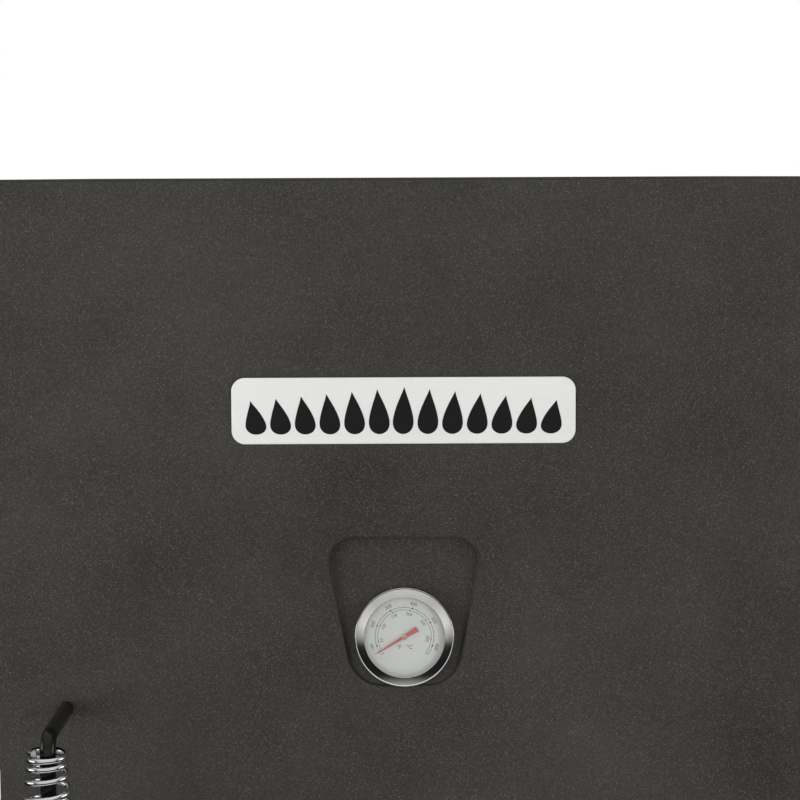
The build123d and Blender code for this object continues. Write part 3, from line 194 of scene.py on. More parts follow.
def powder_coat(name="powder_coat"):
    """Warm charcoal powder coat: fine orange peel, a pale metallic fleck and cloudy tone."""
    low, high, fleck = (0.0062, 0.0058, 0.0048), (0.0308, 0.0287, 0.0240), (0.185, 0.176, 0.155)
    f = Finish(name, Metallic=0.0, Coat_Weight=0.0)
    cloud = f.noise(9.0, 4.0, 0.55)
    grain = f.noise(1500.0, 2.0, 0.7)
    speck = f.cells(2100.0, output="Color")
    pick = f.axis("X", speck)
    depth = f.cells(2100.0)
    sparkle = pick.ramp(0.62, 1.0) * (1.0 - depth.ramp(0.12, 0.42))
    tone = (cloud * 0.35 + grain * 0.65).ramp(0.34, 0.66)
    body = f.blend(tone, low, high)
    f.set(Base_Color=f.blend(sparkle, body, fleck))
    f.set(Roughness=0.44 + 0.10 * cloud + 0.14 * grain - 0.16 * sparkle, Specular_IOR_Level=0.5)
    peel = f.noise(620.0, 2.0, 0.55)
    return f.bump(peel * 0.7 + grain * 0.3, 0.00012, 0.45).material


def rolled_steel(name="aluminised_steel", tint=(0.56, 0.56, 0.55)):
    """Aluminised sheet: a soft spangle, faint rolling lines and cloudy gloss."""
    f = Finish(name, Metallic=1.0)
    spangle = f.axis("X", f.cells(140.0, output="Color"))
    lines = f.noise(60.0, 3.0, 0.6, f.stretched((1.0, 1.0, 40.0)))
    dark = tuple(c * 0.78 for c in tint)
    f.set(Base_Color=f.blend(spangle * 0.6 + lines * 0.4, dark, tint))
    f.set(Roughness=0.26 + 0.12 * spangle + 0.14 * lines)
    return f.bump(lines, 0.00008, 0.3).material


def chrome(name="chrome", tint=(0.86, 0.86, 0.87)):
    """Bright nickel chrome with faint draw lines and finger haze."""
    f = Finish(name, Metallic=1.0)
    haze = f.noise(55.0, 4.0, 0.6)
    fine = f.noise(900.0, 2.0, 0.5)
    dark = tuple(c * 0.9 for c in tint)
    f.set(Base_Color=f.blend(haze, dark, tint), Roughness=0.035 + 0.07 * haze.ramp(0.45, 0.8) + 0.02 * fine)
    return f.bump(fine, 0.00002, 0.15).material


def zinc(name="zinc_plate"):
    """Zinc plate: crystalline mottle, a cold tint and dull highlights."""
    f = Finish(name, Metallic=1.0)
    mottle = f.noise(700.0, 3.0, 0.65)
    patch = f.cells(420.0)
    f.set(Base_Color=f.blend(mottle, (0.42, 0.43, 0.42), (0.68, 0.68, 0.66)))
    f.set(Roughness=0.28 + 0.2 * patch + 0.1 * mottle)
    return f.bump(mottle, 0.00006, 0.3).material


def gloss_black(name="gloss_black"):
    """Stoved black paint on the bent rods: deep gloss, faint ripples and dust."""
    f = Finish(name, Specular_IOR_Level=0.32)
    ripple = f.noise(160.0, 3.0, 0.5)
    dust = f.noise(1900.0, 2.0, 0.7).ramp(0.66, 0.8)
    f.set(Base_Color=f.blend(dust, (0.0030, 0.0030, 0.0030), (0.020, 0.0195, 0.018)))
    f.set(Roughness=0.12 + 0.10 * ripple + 0.2 * dust)
    return f.bump(ripple, 0.00012, 0.25).material


def moulded_plastic(name="moulded_plastic", tone=(0.016, 0.016, 0.017), gloss=0.34):
    """Moulded plastic with a fine spark-eroded texture."""
    f = Finish(name)
    leather = f.cells(1500.0)
    cloud = f.noise(70.0, 3.0, 0.6)
    light = tuple(c * 1.8 + 0.004 for c in tone)
    f.set(Base_Color=f.blend(cloud.ramp(0.3, 0.8), tone, light))
    f.set(Roughness=gloss + 0.14 * leather + 0.1 * cloud)
    return f.bump(leather, 0.0001, 0.35).material


def enamel(name="vitreous_enamel"):
    """Black vitreous enamel with tiny pale flecks and a wavy fired surface."""
    f = Finish(name, Coat_Weight=0.6, Coat_Roughness=0.05)
    wave = f.noise(75.0, 3.0, 0.5)
    speck = f.cells(330.0).ramp(0.10, 0.16)
    chosen = f.axis("X", f.cells(330.0, output="Color")).over(0.62)
    pale = (1.0 - speck) * chosen
    f.set(Base_Color=f.blend(pale, (0.012, 0.012, 0.014), (0.30, 0.30, 0.32)), Roughness=0.14 + 0.14 * wave)
    return f.bump(wave, 0.0003, 0.3).material


def cast_iron(name="cast_iron"):
    """Sand-cast iron: a coarse skin, dark oil and a little rust in the hollows."""
    f = Finish(name, Metallic=0.35)
    coarse = f.noise(420.0, 4.0, 0.65)
    pits = f.cells(650.0)
    rust = f.noise(38.0, 4.0, 0.7).ramp(0.58, 0.74)
    body = f.blend(coarse, (0.030, 0.028, 0.027), (0.085, 0.080, 0.076))
    f.set(Base_Color=f.blend(rust * 0.45, body, (0.15, 0.065, 0.030)))
    f.set(Roughness=0.55 + 0.25 * coarse + 0.1 * rust)
    return f.bump(coarse * 0.7 + pits * 0.3, 0.0005, 0.6).material


def brass(name="turned_brass"):
    """Turned brass with fine tool rings and a light tarnish."""
    f = Finish(name, Metallic=1.0)
    rings = f.noise(50.0, 2.0, 0.5, f.stretched((1.0, 60.0, 1.0)))
    tarnish = f.noise(90.0, 4.0, 0.6).ramp(0.45, 0.75)
    f.set(Base_Color=f.blend(tarnish * 0.6, (0.78, 0.58, 0.27), (0.40, 0.27, 0.12)))
    f.set(Roughness=0.18 + 0.18 * tarnish + 0.08 * rings)
    return f.bump(rings, 0.00005, 0.25).material


def from_gauge(f):
    """Distance from the thermometer's axis, in metres."""
    axes = [gauge_frame.to_3x3() @ Vector(v) for v in ((1, 0, 0), (0, 1, 0))]
    offset = f.node("ShaderNodeVectorMath", {"operation": "SUBTRACT"}, f.place, tuple(gauge_centre))
    offset = Value(f, offset.outputs[0])
    along = []
    for axis in axes:
        dot = f.node("ShaderNodeVectorMath", {"operation": "DOT_PRODUCT"}, offset, tuple(axis))
        along.append(Value(f, dot.outputs["Value"]))
    across, up = along
    return (across * across + up * up) ** 0.5


def spun_stainless(name="spun_stainless"):
    """Polished stainless with the fine rings that spinning leaves round the thermometer."""
    f = Finish(name, Metallic=1.0)
    outward_place = f.node("ShaderNodeCombineXYZ", {}, from_gauge(f) * 9000.0)
    rings = f.noise(1.0, 3.0, 0.7, Value(f, outward_place.outputs[0]))
    haze = f.noise(120.0, 3.0, 0.5)
    f.set(Base_Color=f.blend(haze, (0.74, 0.73, 0.72), (0.90, 0.89, 0.88)))
    f.set(Roughness=0.07 + 0.07 * rings + 0.06 * haze)
    return f.bump(rings, 0.00002, 0.3).material


def brushed_plate(name="brushed_plate"):
    """Nameplate aluminium brushed along its length, under a thin clear lacquer."""
    f = Finish(name, Metallic=0.55, Coat_Weight=0.2, Coat_Roughness=0.12)
    strokes = f.noise(45.0, 4.0, 0.7, f.stretched((1.0, 1.0, 60.0)))
    tone = f.noise(14.0, 2.0, 0.5)
    f.set(Base_Color=f.blend(strokes * 0.7 + tone * 0.3, (0.70, 0.70, 0.69), (0.86, 0.86, 0.845)))
    f.set(Roughness=0.24 + 0.16 * strokes)
    return f.bump(strokes, 0.00004, 0.35).material


def printing_ink(name="printing_ink", tone=(0.0030, 0.0028, 0.0026)):
    """Screen-printed ink: matt, with a slightly uneven film."""
    f = Finish(name, Specular_IOR_Level=0.25)
    film = f.noise(1400.0, 3.0, 0.6)
    light = tuple(c * 1.5 + 0.002 for c in tone)
    f.set(Base_Color=f.blend(film, tone, light), Roughness=0.36 + 0.2 * film)
    return f.bump(film, 0.00002, 0.3).material


def dial_white(name="dial_white"):
    """The dial's baked white, a little green under its lens, with a soft mottle and painted shade darkening it
    towards its rim under the ring.
    """
    f = Finish(name)
    mottle = f.noise(300.0, 3.0, 0.6)
    # painted shade: the dial's colour darkens towards its rim, where the ring would shade it
    painted_rim_shade = from_gauge(f).ramp(0.0185, 0.0225)
    base = f.blend(mottle, (0.93, 0.935, 0.91), (0.98, 0.985, 0.965))
    f.set(Base_Color=f.blend(painted_rim_shade * 0.2, base, (0.70, 0.71, 0.69)), Roughness=0.42 + 0.14 * mottle)
    return f.bump(mottle, 0.00002, 0.2).material


def clear_glass(name="clear_glass"):
    """Thin flat glass: see-through face on, bright at a glancing angle."""
    f = Finish(name, Base_Color=(0.95, 0.97, 0.96, 1.0), Metallic=0.0, IOR=1.5)
    smear = f.noise(90.0, 3.0, 0.6)
    f.set(Roughness=0.02 + 0.05 * smear.ramp(0.5, 0.9))
    fresnel = Value(f, f.node("ShaderNodeFresnel", {}, IOR=1.5).outputs[0])
    clear = f.node("ShaderNodeBsdfTransparent", {}, Color=(0.98, 0.985, 0.98, 1.0))
    mixed = f.node("ShaderNodeMixShader", {}, (fresnel * 1.1 + 0.015).clamped())
    f.tree.links.new(clear.outputs[0], mixed.inputs[1])
    f.tree.links.new(f.shader.outputs[0], mixed.inputs[2])
    f.tree.links.new(mixed.outputs[0], f.output.inputs["Surface"])
    return f.material


def glass_rope(name="glass_rope"):
    """Braided glass-fibre seal: crossing strands in a grey that has begun to brown."""
    f = Finish(name, Sheen_Weight=0.2)
    strands = []
    for turn in (45, -45):
        strand = f.stretched((260.0, 260.0, 260.0), rotation=(0.0, math.radians(turn), 0.0))
        strands.append((f.axis("X", strand) * math.tau).sine() * 0.5 + 0.5)
    weave = strands[0] * strands[1]
    soot = f.noise(30.0, 4.0, 0.6).ramp(0.45, 0.75)
    f.set(Base_Color=f.blend(weave * 0.7 + soot * 0.2, (0.16, 0.15, 0.135), (0.50, 0.48, 0.44)))
    f.set(Roughness=0.85 + 0.1 * weave)
    return f.bump(weave, 0.0008, 0.8).material


def glazed_ceramic(name="glazed_ceramic"):
    """Glazed ceramic: warm white with a soft cloud under a clear gloss."""
    f = Finish(name, Coat_Weight=0.5, Coat_Roughness=0.08)
    cloud = f.noise(400.0, 3.0, 0.6)
    f.set(Base_Color=f.blend(cloud, (0.74, 0.71, 0.65), (0.86, 0.84, 0.79)), Roughness=0.22 + 0.14 * cloud)
    return f.bump(cloud, 0.00003, 0.3).material


def silicone_sleeve(name="silicone_sleeve"):
    """The igniter lead's red sleeve, with the weave of its braid."""
    f = Finish(name)
    braid = f.cells(900.0)
    f.set(Base_Color=f.blend(braid, (0.22, 0.020, 0.014), (0.36, 0.040, 0.028)))
    f.set(Roughness=0.5 + 0.2 * braid)
    return f.bump(braid, 0.0002, 0.5).material


def studio_floor(name="studio_floor"):
    """Pale matt floor with a barely visible cloud."""
    f = Finish(name)
    soft = f.noise(3.0, 2.0, 0.5)
    f.set(Base_Color=f.blend(soft, (0.78, 0.78, 0.775), (0.82, 0.82, 0.815)), Roughness=0.6 + 0.1 * soft)
    return f.material


bright_chrome = chrome()
rack_chrome = chrome("rack_plating", (0.74, 0.74, 0.74))
ink = printing_ink()
red_lacquer = printing_ink("red_lacquer", (0.56, 0.020, 0.022))
white_ink = printing_ink("white_ink", (0.72, 0.72, 0.70))
stainless = spun_stainless()
turned_brass = brass()

finish_of = {
    "cabinet_paint": powder_coat(),
    "inner_steel": rolled_steel(),
    "chrome": bright_chrome,
    "enamel": enamel(),
    "cast_iron": cast_iron(),
    "brass": turned_brass,
    "stainless": stainless,
    "plate": brushed_plate(),
    "dial": dial_white(),
    "needle_red": red_lacquer,
    "glass": clear_glass(),
    "rod_black": gloss_black(),
    "knob_black": moulded_plastic(),
    "foot_plastic": moulded_plastic("foot_rubber", (0.020, 0.020, 0.021), 0.6),
    "gasket": glass_rope(),
    "catch_plastic": moulded_plastic("catch_plastic", (0.030, 0.029, 0.028), 0.45),
    "ceramic": glazed_ceramic(),
    "zinc": zinc(),
    "lead_red": silicone_sleeve(),
}
slot_of = {entry["node"]: entry["material_slot"] for entry in frame["record"]["subparts"]}


def dress_cad_nodes():
    """Give every CAD node its finish."""
    for node, obj in frame["nodes"].items():
        material = rack_chrome if node.startswith("cooking_rack") else finish_of[slot_of[node]]
        if not obj.material_slots:
            obj.data.materials.append(material)
        for slot in obj.material_slots:
            slot.material = material


dress_cad_nodes()


# ================================================================ modelling helpers
def clear_selection():
    """Back to object mode with nothing selected."""
    if bpy.context.object and bpy.context.object.mode != "OBJECT":
        bpy.ops.object.mode_set(mode="OBJECT")
    bpy.ops.object.select_all(action="DESELECT")


def take(name):
    """Name the object that was just added, and keep it alone selected."""
    obj = bpy.context.object
    obj.name = obj.data.name = name
    return obj


def only(obj):
    """Leave one object selected and active."""
    clear_selection()
    obj.select_set(True)
    bpy.context.view_layer.objects.active = obj
    return obj


def modify(obj, kind, **settings):
    """Add one modifier and apply it."""
    only(obj)
    modifier = obj.modifiers.new(kind.title(), kind)
    for key, value in settings.items():
        setattr(modifier, key, value)
    bpy.ops.object.modifier_apply(modifier=modifier.name)


def settle(obj, place=None):
    """Move a piece by a matrix, then put its place into its mesh."""
    only(obj)
    if obj.type != "MESH":
        bpy.ops.object.convert(target="MESH")
    if place is not None:
        obj.matrix_world = place @ obj.matrix_world
    bpy.ops.object.transform_apply(location=True, rotation=True, scale=True)
    return obj


def merge(name, objects):
    """Join objects into one piece."""
    clear_selection()
    for obj in objects:
        obj.select_set(True)
    bpy.context.view_layer.objects.active = objects[0]
    if len(objects) > 1:
        bpy.ops.object.join()
    return take(name)


def outward(obj, merge_distance=0.005 * MM):
    """Merge a mesh's doubles and point its faces outwards."""
    only(obj)
    bpy.ops.object.mode_set(mode="EDIT")
    bpy.ops.mesh.select_all(action="SELECT")
    bpy.ops.mesh.remove_doubles(threshold=merge_distance)
    bpy.ops.mesh.normals_make_consistent(inside=False)
    bpy.ops.object.mode_set(mode="OBJECT")


def hand_over(obj, body, material, stands_for=(), smooth=35.0):
    """Finish a piece: smooth it, give it its material and put it on its body."""
    only(obj)
    if smooth:
        bpy.ops.object.shade_smooth_by_angle(angle=math.radians(smooth))
    obj.data.materials.clear()
    obj.data.materials.append(material)
    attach(obj, body)
    if stands_for:
        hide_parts(*stands_for)
    return obj


def turned(name, profile, steps=96):
    """A ring about Z: a circle extruded, moved and scaled to each (radius, height) of its profile."""
    clear_selection()
    radius, height = profile[0]
    bpy.ops.mesh.primitive_circle_add(vertices=steps, radius=radius, location=(0, 0, height))
    obj = take(name)
    bpy.ops.object.mode_set(mode="EDIT")
    bpy.ops.mesh.select_all(action="SELECT")
    for next_radius, next_height in [*profile[1:], profile[0]]:
        bpy.ops.mesh.extrude_region_move(TRANSFORM_OT_translate={"value": (0, 0, next_height - height)})
        grow = next_radius / radius
        bpy.ops.transform.resize(value=(grow, grow, 1), center_override=(0, 0, next_height))
        radius, height = next_radius, next_height
    outward(obj)
    return obj


def flat_leaf(name, width, height, thickness, tip, sweep, waist, steps=40):
    """A flat leaf standing on its base: a disc drawn up to a tip, swept to one side and waisted."""
    clear_selection()
    bpy.ops.mesh.primitive_circle_add(vertices=steps, radius=0.5, fill_type="NGON")
    obj = take(name)
    for vertex in obj.data.vertices:
        x, y = vertex.co.x, vertex.co.y + 0.5
        narrow = 1.0 - (1.0 - tip) * y ** 1.3
        pinch = 1.0 - waist * math.sin(math.pi * y) ** 2
        vertex.co = (x * width * narrow * pinch + sweep * y * y, y * height, 0.0)
    return raised(obj, thickness)


def raised(obj, thickness):
    """Give a flat face its thickness along Z."""
    only(obj)
    bpy.ops.object.mode_set(mode="EDIT")
    bpy.ops.mesh.select_all(action="SELECT")
    bpy.ops.mesh.extrude_region_move(TRANSFORM_OT_translate={"value": (0, 0, thickness)})
    bpy.ops.mesh.select_all(action="SELECT")
    bpy.ops.mesh.normals_make_consistent(inside=False)
    bpy.ops.object.mode_set(mode="OBJECT")
    return obj


# ================================================================ thermometer
dial_face = 4.6 * MM        # the dial's front above the needle's joint
ink_film = 0.06 * MM        # thickness of every printed mark
needle_bearing = math.radians(211.0)


def in_metres(*profile):
    return [(radius * MM, height * MM) for radius, height in profile]


def thermometer_ring():
    """The polished ring: a face that falls outwards to a thin rolled edge."""
    skirt = ((24.45, 0.35), (25.55, 0.35), (25.80, 0.60), (25.80, 6.35))
    rolled_edge = ((25.88, 6.60), (25.90, 6.85), (25.82, 7.10), (25.62, 7.24), (25.38, 7.22), (25.20, 7.20))
    inner_edge = ((21.30, 8.80), (21.08, 8.86), (20.94, 8.80), (20.90, 8.66))
    underside = ((20.90, 8.02), (24.45, 7.12))
    ring = turned("thermometer_ring", in_metres(*skirt, *rolled_edge, *inner_edge, *underside), 128)
    settle(ring, gauge_frame)
    hand_over(ring, "door", stainless, ["thermometer_bezel"], 25.0)


def thermometer_glass():
    """The flat lens behind the ring, with its edge ground off."""
    back = ((0.02, 7.05), (20.0, 7.05), (22.3, 7.05))
    ground_edge = ((22.6, 7.2), (22.6, 7.7), (22.3, 7.95))
    front = ((20.0, 8.0), (0.02, 8.0))
    lens = turned("thermometer_glass", in_metres(*back, *ground_edge, *front), 96)
    settle(lens, gauge_frame)
    hand_over(lens, "door", finish_of["glass"], ["thermometer_lens"])


def arc_line(radius, width, sweep, middle=90.0, steps=96):
    """A printed arc: a small section spun about the dial's axis and turned to its middle angle."""
    clear_selection()
    bpy.ops.mesh.primitive_plane_add(size=1, location=(radius, 0, ink_film / 2),
                                     rotation=(math.pi / 2, 0, 0))
    obj = take("arc")
    obj.scale = (width, ink_film, 1)
    bpy.ops.object.transform_apply(location=True, rotation=True, scale=True)
    bpy.ops.object.mode_set(mode="EDIT")
    bpy.ops.mesh.select_all(action="SELECT")
    bpy.ops.mesh.spin(steps=steps, angle=math.radians(sweep), center=(0, 0, 0), axis=(0, 0, 1), dupli=False)
    outward(obj, 0.001 * MM)
    mean = sum((v.co for v in obj.data.vertices), Vector()) / len(obj.data.vertices)
    turn = math.radians(middle) - math.atan2(mean.y, mean.x)
    return settle(obj, Matrix.Rotation(turn, 4, "Z"))


def printed_bar(angle, inner, outer, width):
    """A printed mark along a radius: a flat block from one radius to another."""
    clear_selection()
    bpy.ops.mesh.primitive_cube_add(size=1)
    obj = take("mark")
    obj.scale = (outer - inner, width, ink_film)
    bpy.ops.object.transform_apply(scale=True)
    middle = Matrix.Translation(((inner + outer) / 2, 0, ink_film / 2))
    return settle(obj, Matrix.Rotation(math.radians(angle), 4, "Z") @ middle)


def printed_text(words, size, place):
    """Words or a number printed on the dial, centred on their place."""
    clear_selection()
    bpy.ops.object.text_add()
    obj = take("text")
    obj.data.body = words
    obj.data.size = size
    obj.data.align_x = "CENTER"
    obj.data.align_y = "CENTER"
    obj.data.extrude = ink_film / 2
    obj.data.resolution_u = 3
    return settle(obj, place @ Matrix.Translation((0, 0, ink_film / 2)))


def around(radius, angle):
    """A place on the dial whose upright points away from the centre."""
    turn = math.radians(angle)
    return Matrix.Translation((radius * math.cos(turn), radius * math.sin(turn), 0)) @ Matrix.Rotation(
        turn - math.pi / 2, 4, "Z")


def dial_scale():
    """Two joined scale rings with ticks and the numbers of both scales, at their angles in degrees."""
    outer, inner, line = 15.3 * MM, 14.0 * MM, 0.20 * MM
    low, high = -38.5, 218.4
    middle = (low + high) / 2
    fahrenheit = ((100, 198.4), (200, 158.8), (300, 118.2), (400, 74.2), (500, 28.5), (600, -18.5))
    celsius = ((50, 189.6), (100, 154.6), (150, 116.4), (200, 78.0), (250, 36.7), (300, -5.3))
    prints = [arc_line(outer, line, high - low, middle), arc_line(inner, line, high - low, middle)]
    prints += [printed_bar(angle, inner - line / 2, outer + line / 2, line) for angle in (low, high)]
    for number, angle in fahrenheit:
        prints.append(printed_text(str(number), 2.5 * MM, around(17.6 * MM, angle)))
        prints.append(printed_bar(angle, outer - 0.35 * MM, outer + 0.45 * MM, 0.8 * MM))
    for (_, first), (_, second) in zip(fahrenheit, fahrenheit[1:]):
        for share in (0.2, 0.4, 0.6, 0.8):
            prints.append(printed_bar(first + (second - first) * share, outer, outer + 0.5 * MM, 0.16 * MM))
    for number, angle in celsius:
        prints.append(printed_text(str(number), 2.3 * MM, around(12.0 * MM, angle)))
        prints.append(printed_bar(angle, inner - 0.45 * MM, inner + 0.2 * MM, 0.55 * MM))
    prints.append(printed_text("\u00b0F   \u00b0C", 3.0 * MM, Matrix.Translation((0, -5.6 * MM, 0))))
    scale = merge("dial_scale", prints)
    settle(scale, gauge_frame @ Matrix.Translation((0, 0, dial_face)))
    hand_over(scale, "door", ink, smooth=0)


def needle():
    """A red pointer tapering to its tip, with a flared tail and a small brass hub."""
    reach, tail, low, high = 17.4 * MM, 7.9 * MM, 5.55 * MM, 5.95 * MM
    tip_half, middle_half, tail_half = 0.16 * MM, 0.85 * MM, 1.45 * MM
    clear_selection()
    bpy.ops.mesh.primitive_cube_add(size=1, location=(0, 0, (low + high) / 2))
    blade = take("blade")
    blade.scale = (1, 1, high - low)
    bpy.ops.object.transform_apply(location=True, scale=True)
    for vertex in blade.data.vertices:
        to_tip = vertex.co.x > 0
        half = tip_half if to_tip else tail_half
        vertex.co.x = reach if to_tip else -tail
        vertex.co.y = math.copysign(half, vertex.co.y)
    bpy.ops.object.mode_set(mode="EDIT")
    bpy.ops.mesh.select_all(action="SELECT")
    bpy.ops.mesh.bisect(plane_co=(0, 0, 0), plane_no=(1, 0, 0))
    bpy.ops.object.mode_set(mode="OBJECT")
    for vertex in blade.data.vertices:
        if abs(vertex.co.x) < 0.01 * MM:
            vertex.co.y = math.copysign(middle_half, vertex.co.y)
    modify(blade, "BEVEL", width=0.06 * MM, segments=2, limit_method="ANGLE")
    settle(blade, gauge_frame @ Matrix.Rotation(needle_bearing, 4, "Z"))
    hand_over(blade, "gauge_needle", red_lacquer, ["thermometer_needle"])
    pivot = ((0.05, 4.7), (0.5, 4.7), (0.5, 5.4))
    collar = ((1.25, 5.45), (1.38, 5.6), (1.38, 6.05), (1.25, 6.25), (0.95, 6.3), (0.85, 6.2))
    pin_end = ((0.55, 6.2), (0.45, 6.42), (0.05, 6.46))
    hub = turned("needle_hub", in_metres(*pivot, *collar, *pin_end), 48)
    settle(hub, gauge_frame)
    hand_over(hub, "gauge_needle", turned_brass)


# ================================================================ coil grip on the door handle
def coil_grip():
    """One wire wound round the handle: close turns at its ends, open swollen turns between."""
    wire = 1.5 * MM
    low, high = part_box("handle_coil")
    length = high[2] - low[2] - 2 * wire
    close_pitch, open_pitch = 3.9 * MM, 8.8 * MM
    close_turns, opening_turns = 1.4, 2.0
    small, large = 9.1 * MM, 13.5 * MM          # winding radius at the ends and at the middle
    swell_start, swell_turns = 0.5, 7.0         # turns from an end
    end_turns = close_turns + opening_turns
    end_length = close_turns * close_pitch + opening_turns * (close_pitch + open_pitch) / 2
    turns = 2 * end_turns + (length - 2 * end_length) / open_pitch
    steps_per_turn = 20
    count = round(turns * steps_per_turn)
    top_angle = math.radians(228)
    points = []
    z = high[2] - wire
    for step in range(count + 1):
        turn = turns * step / count
        from_end = min(turn, turns - turn)
        opened = min(max((from_end - close_turns) / opening_turns, 0.0), 1.0)
        swell = min(max((from_end - swell_start) / swell_turns, 0.0), 1.0)
        radius = small + (large - small) * swell * swell * (3 - 2 * swell)
        angle = top_angle - turn * math.tau
        x, y = rod_axis.x + radius * math.cos(angle), rod_axis.y + radius * math.sin(angle)
        points.append((x, y, z, 1.0))
        z -= (close_pitch + (open_pitch - close_pitch) * opened) * turns / count
    clear_selection()
    bpy.ops.curve.primitive_nurbs_path_add()
    coil = take("coil_grip")
    line = coil.data.splines[0]
    line.points.add(len(points) - len(line.points))
    for point, place in zip(line.points, points):
        point.co = place
    line.order_u = 4
    line.use_endpoint_u = True
    line.resolution_u = 2
    coil.location = (0, 0, 0)
    coil.data.bevel_depth = wire
    coil.data.bevel_resolution = 4
    coil.data.use_fill_caps = True
    settle(coil)
    outward(coil)
    hand_over(coil, "coil_grip", bright_chrome, ["handle_coil"], 50.0)


# ================================================================ nameplate ornament
def plate_ornament():
    """A row of plain flames in black on the nameplate, tallest in the middle."""
    upright = Matrix.Translation(front_middle("nameplate")) @ Matrix.Rotation(math.pi / 2, 4, "X")
    tall, short, width, pitch, per_side = 24.5 * MM, 17.5 * MM, 15.5 * MM, 12.9 * MM, 6
    flames = []
    for index in range(-per_side, per_side + 1):
        away = abs(index) / per_side
        height = tall - (tall - short) * away
        lean = 2.4 * MM * (1 if index >= 0 else -1) * (0.3 + away)
        flame = flat_leaf("flame", width, height, 0.12 * MM, tip=0.06, sweep=lean, waist=0.10)
        settle(flame, Matrix.Translation((index * pitch - lean / 3, -tall / 2, 0)))
        flames.append(flame)
    ornament = merge("plate_ornament", flames)
    settle(ornament, upright)
    hand_over(ornament, "door", ink, smooth=0)


# ================================================================ marks round the control knob
def knob_marks():
    """A white line on the knob and dots that grow round its ring from low to high."""
    line_width, line_length, line_up = 1.4 * MM, 8.0 * MM, 10.5 * MM
    dot_count, dot_step, dot_ring, first_dot, dot_growth = 7, 26, 36.5 * MM, 0.8 * MM, 0.28 * MM
    middle = front_middle("control_knob")
    upright = Matrix.Rotation(math.pi / 2, 4, "X")
    clear_selection()
    bpy.ops.mesh.primitive_cube_add(size=1)
    line = take("knob_line")
    line.scale = (line_width, line_length, 0.2 * MM)
    bpy.ops.object.transform_apply(scale=True)
    modify(line, "BEVEL", width=0.5 * MM, segments=4, affect="EDGES", limit_method="ANGLE")
    settle(line, Matrix.Translation(middle + Vector((0, 0.05 * MM, line_up))) @ upright)
    hand_over(line, "knob", white_ink)
    panel_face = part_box("control_panel")[0][1]
    dots = []
    for index in range(dot_count):
        clear_selection()
        angle = math.radians(90 - dot_step * (index + 1))
        radius = first_dot + dot_growth * index
        bpy.ops.mesh.primitive_circle_add(vertices=24, radius=radius, fill_type="NGON")
        dot = raised(take("dot"), ink_film)
        settle(dot, Matrix.Translation((dot_ring * math.cos(angle), dot_ring * math.sin(angle), 0)))
        dots.append(dot)
    marks = merge("heat_marks", dots)
    settle(marks, Matrix.Translation((middle.x, panel_face, middle.z)) @ upright)
    hand_over(marks, "cabinet", white_ink, smooth=0)


# ================================================================ door seal
def door_seal():
    """A soft rope seal round the door's rear: a rounded band that follows the frame."""
    low, high = [Vector(corner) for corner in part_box("door_gasket")]
    band = 10.0 * MM
    thick = high.y - low.y
    clear_selection()
    bpy.ops.mesh.primitive_plane_add(size=1)
    path = take("rope_path")
    path.scale = (high.x - low.x - band, high.z - low.z - band, 1)
    bpy.ops.object.transform_apply(scale=True)
    bpy.ops.object.mode_set(mode="EDIT")
    bpy.ops.mesh.select_all(action="SELECT")
    bpy.ops.mesh.bevel(offset=9.0 * MM, segments=8, affect="VERTICES")
    bpy.ops.mesh.delete(type="ONLY_FACE")
    bpy.ops.object.mode_set(mode="OBJECT")
    bpy.ops.object.convert(target="CURVE")
    path.data.bevel_depth = band / 2
    path.data.bevel_resolution = 5
    bpy.ops.object.convert(target="MESH")
    rope = take("door_seal")
    middle = (low + high) / 2
    squeeze = Matrix.Diagonal((1, 1, thick / band, 1))
    settle(rope, Matrix.Translation(middle) @ Matrix.Rotation(math.pi / 2, 4, "X") @ squeeze)
    outward(rope)
    hand_over(rope, "door", finish_of["gasket"], ["door_gasket"], 60.0)


thermometer_ring()
thermometer_glass()
dial_scale()
needle()
coil_grip()
plate_ornament()
knob_marks()
door_seal()


# ================================================================ floor, lights and camera
def lay_floor():
    """A wide pale floor under the legs, left out of the metal's reflections."""
    clear_selection()
    bpy.ops.mesh.primitive_plane_add(size=24.0, location=(0, 0, 0))
    floor = take("floor")
    floor.data.materials.append(studio_floor())
    floor.visible_glossy = False


class World:
    """Short forms for the world's nodes."""

    def __init__(self):
        world = bpy.data.worlds.new("studio")
        bpy.context.scene.world = world
        world.use_nodes = True
        self.nodes, self.links = world.node_tree.nodes, world.node_tree.links
        self.nodes.clear()

    def maths(self, operation, *terms):
        node = self.nodes.new("ShaderNodeMath")
        node.operation = operation
        for socket, term in zip(node.inputs, terms):
            self.links.new(term, socket)
        return node.outputs[0]

    def mapped(self, value, levels):
        """A value carried from one range to another: from low, from high, to low, to high."""
        node = self.nodes.new("ShaderNodeMapRange")
        self.links.new(value, node.inputs["Value"])
        for socket, level in zip(("From Min", "From Max", "To Min", "To Max"), levels):
            node.inputs[socket].default_value = level
        return node.outputs[0]

    def shade(self, value, stops):
        """A grey that follows a value through (position, level) stops."""
        node = self.nodes.new("ShaderNodeValToRGB")
        self.links.new(value, node.inputs[0])
        ramp = node.color_ramp
        while len(ramp.elements) < len(stops):
            ramp.elements.new(1.0)
        for element, (position, level) in zip(ramp.elements, stops):
            element.position = position
            element.color = (level, level, level * 0.99, 1.0)
        return node.outputs[0]

    def background(self, strength):
        node = self.nodes.new("ShaderNodeBackground")
        node.inputs["Color"].default_value = (1.0, 1.0, 1.0, 1.0)
        node.inputs["Strength"].default_value = strength
        return node

    def choice(self, mask, first, second):
        node = self.nodes.new("ShaderNodeMixShader")
        for socket, output in zip(node.inputs, (mask, first, second)):
            self.links.new(output, socket)
        return node.outputs[0]


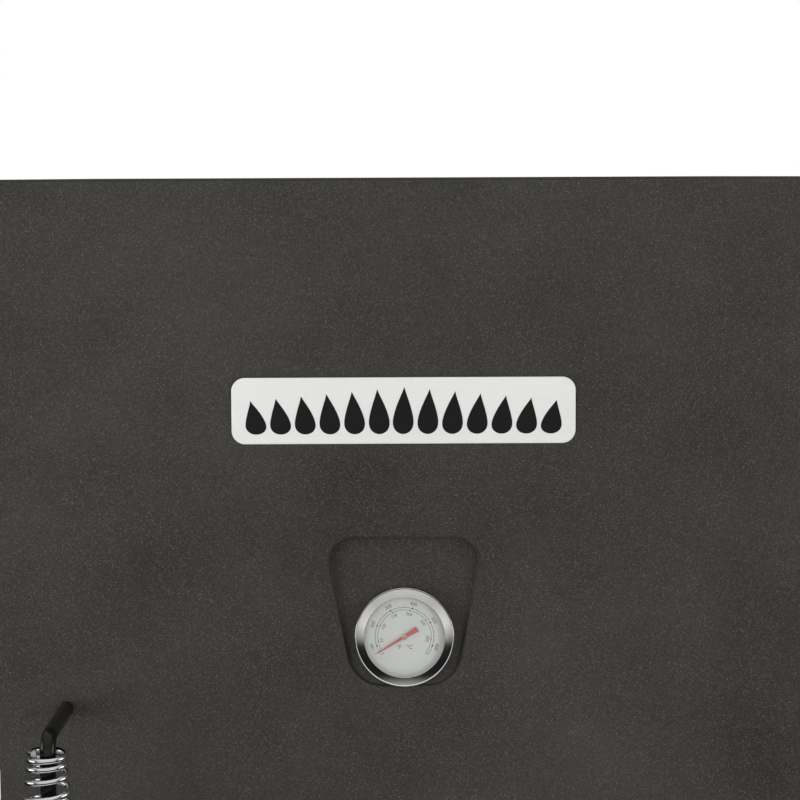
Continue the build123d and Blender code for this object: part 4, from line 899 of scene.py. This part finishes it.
def light_world():
    """White to the camera and an even dome for dull surfaces; metal sees a studio with dark flanks."""
    camera_level, dome_level = 1.0, 0.56
    below = ((0.0, 0.60), (0.10, 0.45), (0.16, 0.012), (0.39, 0.015))
    above = ((0.46, 0.50), (0.55, 0.85), (0.72, 0.50), (1.0, 0.80))
    flank_fall, flank_strip = (0.62, 0.84, 1.0, 0.25), (0.90, 0.96, 0.0, 2.6)
    rear_fall = (0.40, 0.75, 1.0, 0.12)
    world = World()
    place = world.nodes.new("ShaderNodeTexCoord")
    split = world.nodes.new("ShaderNodeSeparateXYZ")
    world.links.new(place.outputs["Generated"], split.inputs[0])
    height = world.mapped(split.outputs["Z"], (-1.0, 1.0, 0.0, 1.0))
    flank = world.maths("ABSOLUTE", split.outputs["X"])
    sides = world.maths("ADD", world.mapped(flank, flank_fall), world.mapped(flank, flank_strip))
    strength = world.maths("MULTIPLY", sides, world.mapped(split.outputs["Y"], rear_fall))
    studio = world.background(1.0)
    world.links.new(world.shade(height, (*below, *above)), studio.inputs["Color"])
    world.links.new(strength, studio.inputs["Strength"])
    seen = world.nodes.new("ShaderNodeLightPath").outputs
    dome = world.background(dome_level).outputs[0]
    reflected = world.choice(seen["Is Glossy Ray"], dome, studio.outputs[0])
    shown = world.choice(seen["Is Camera Ray"], reflected, world.background(camera_level).outputs[0])
    output = world.nodes.new("ShaderNodeOutputWorld")
    world.links.new(shown, output.inputs["Surface"])


def soft_light(name, place, aim, size, power):
    """A soft rectangle of light in watts, left out of the metal's reflections."""
    clear_selection()
    bpy.ops.object.light_add(type="AREA", location=place)
    lamp = take(name)
    lamp.data.shape = "RECTANGLE"
    lamp.data.size, lamp.data.size_y = size
    lamp.data.energy = power
    lamp.visible_glossy = False
    lamp.rotation_euler = (Vector(aim) - Vector(place)).to_track_quat("-Z", "Y").to_euler()


def set_camera():
    """Level with the roof, close in front of the upper door, looking slightly down."""
    stand_off = 1.187
    aim_below_roof = 0.1146
    side_step = -0.0018
    roll = math.radians(-0.25)
    place = Vector((side_step, door_face - stand_off, roof_top + 0.001))
    aim = Vector((side_step, door_face, roof_top - aim_below_roof))
    clear_selection()
    bpy.ops.object.camera_add(location=place)
    camera = take("camera")
    facing = (aim - place).to_track_quat("-Z", "Y").to_matrix()
    camera.rotation_euler = (facing @ Matrix.Rotation(roll, 3, "Z")).to_euler()
    camera.data.sensor_width = 36.0
    camera.data.lens = 103.5
    camera.data.clip_start = 0.05
    bpy.context.scene.camera = camera


lay_floor()
light_world()
soft_light("key_light", (-1.35, -1.15, 0.75), aim=(-0.05, -0.16, 0.80), size=(0.8, 0.9), power=32.0)
soft_light("fill_light", (1.5, -1.5, 1.15), aim=(0.05, -0.16, 0.90), size=(0.9, 1.2), power=30.0)
soft_light("back_light", (0.6, 2.4, 2.2), aim=(0.0, 0.2, 0.6), size=(1.6, 1.6), power=60.0)
set_camera()
bpy.context.scene.view_settings.view_transform = "Standard"
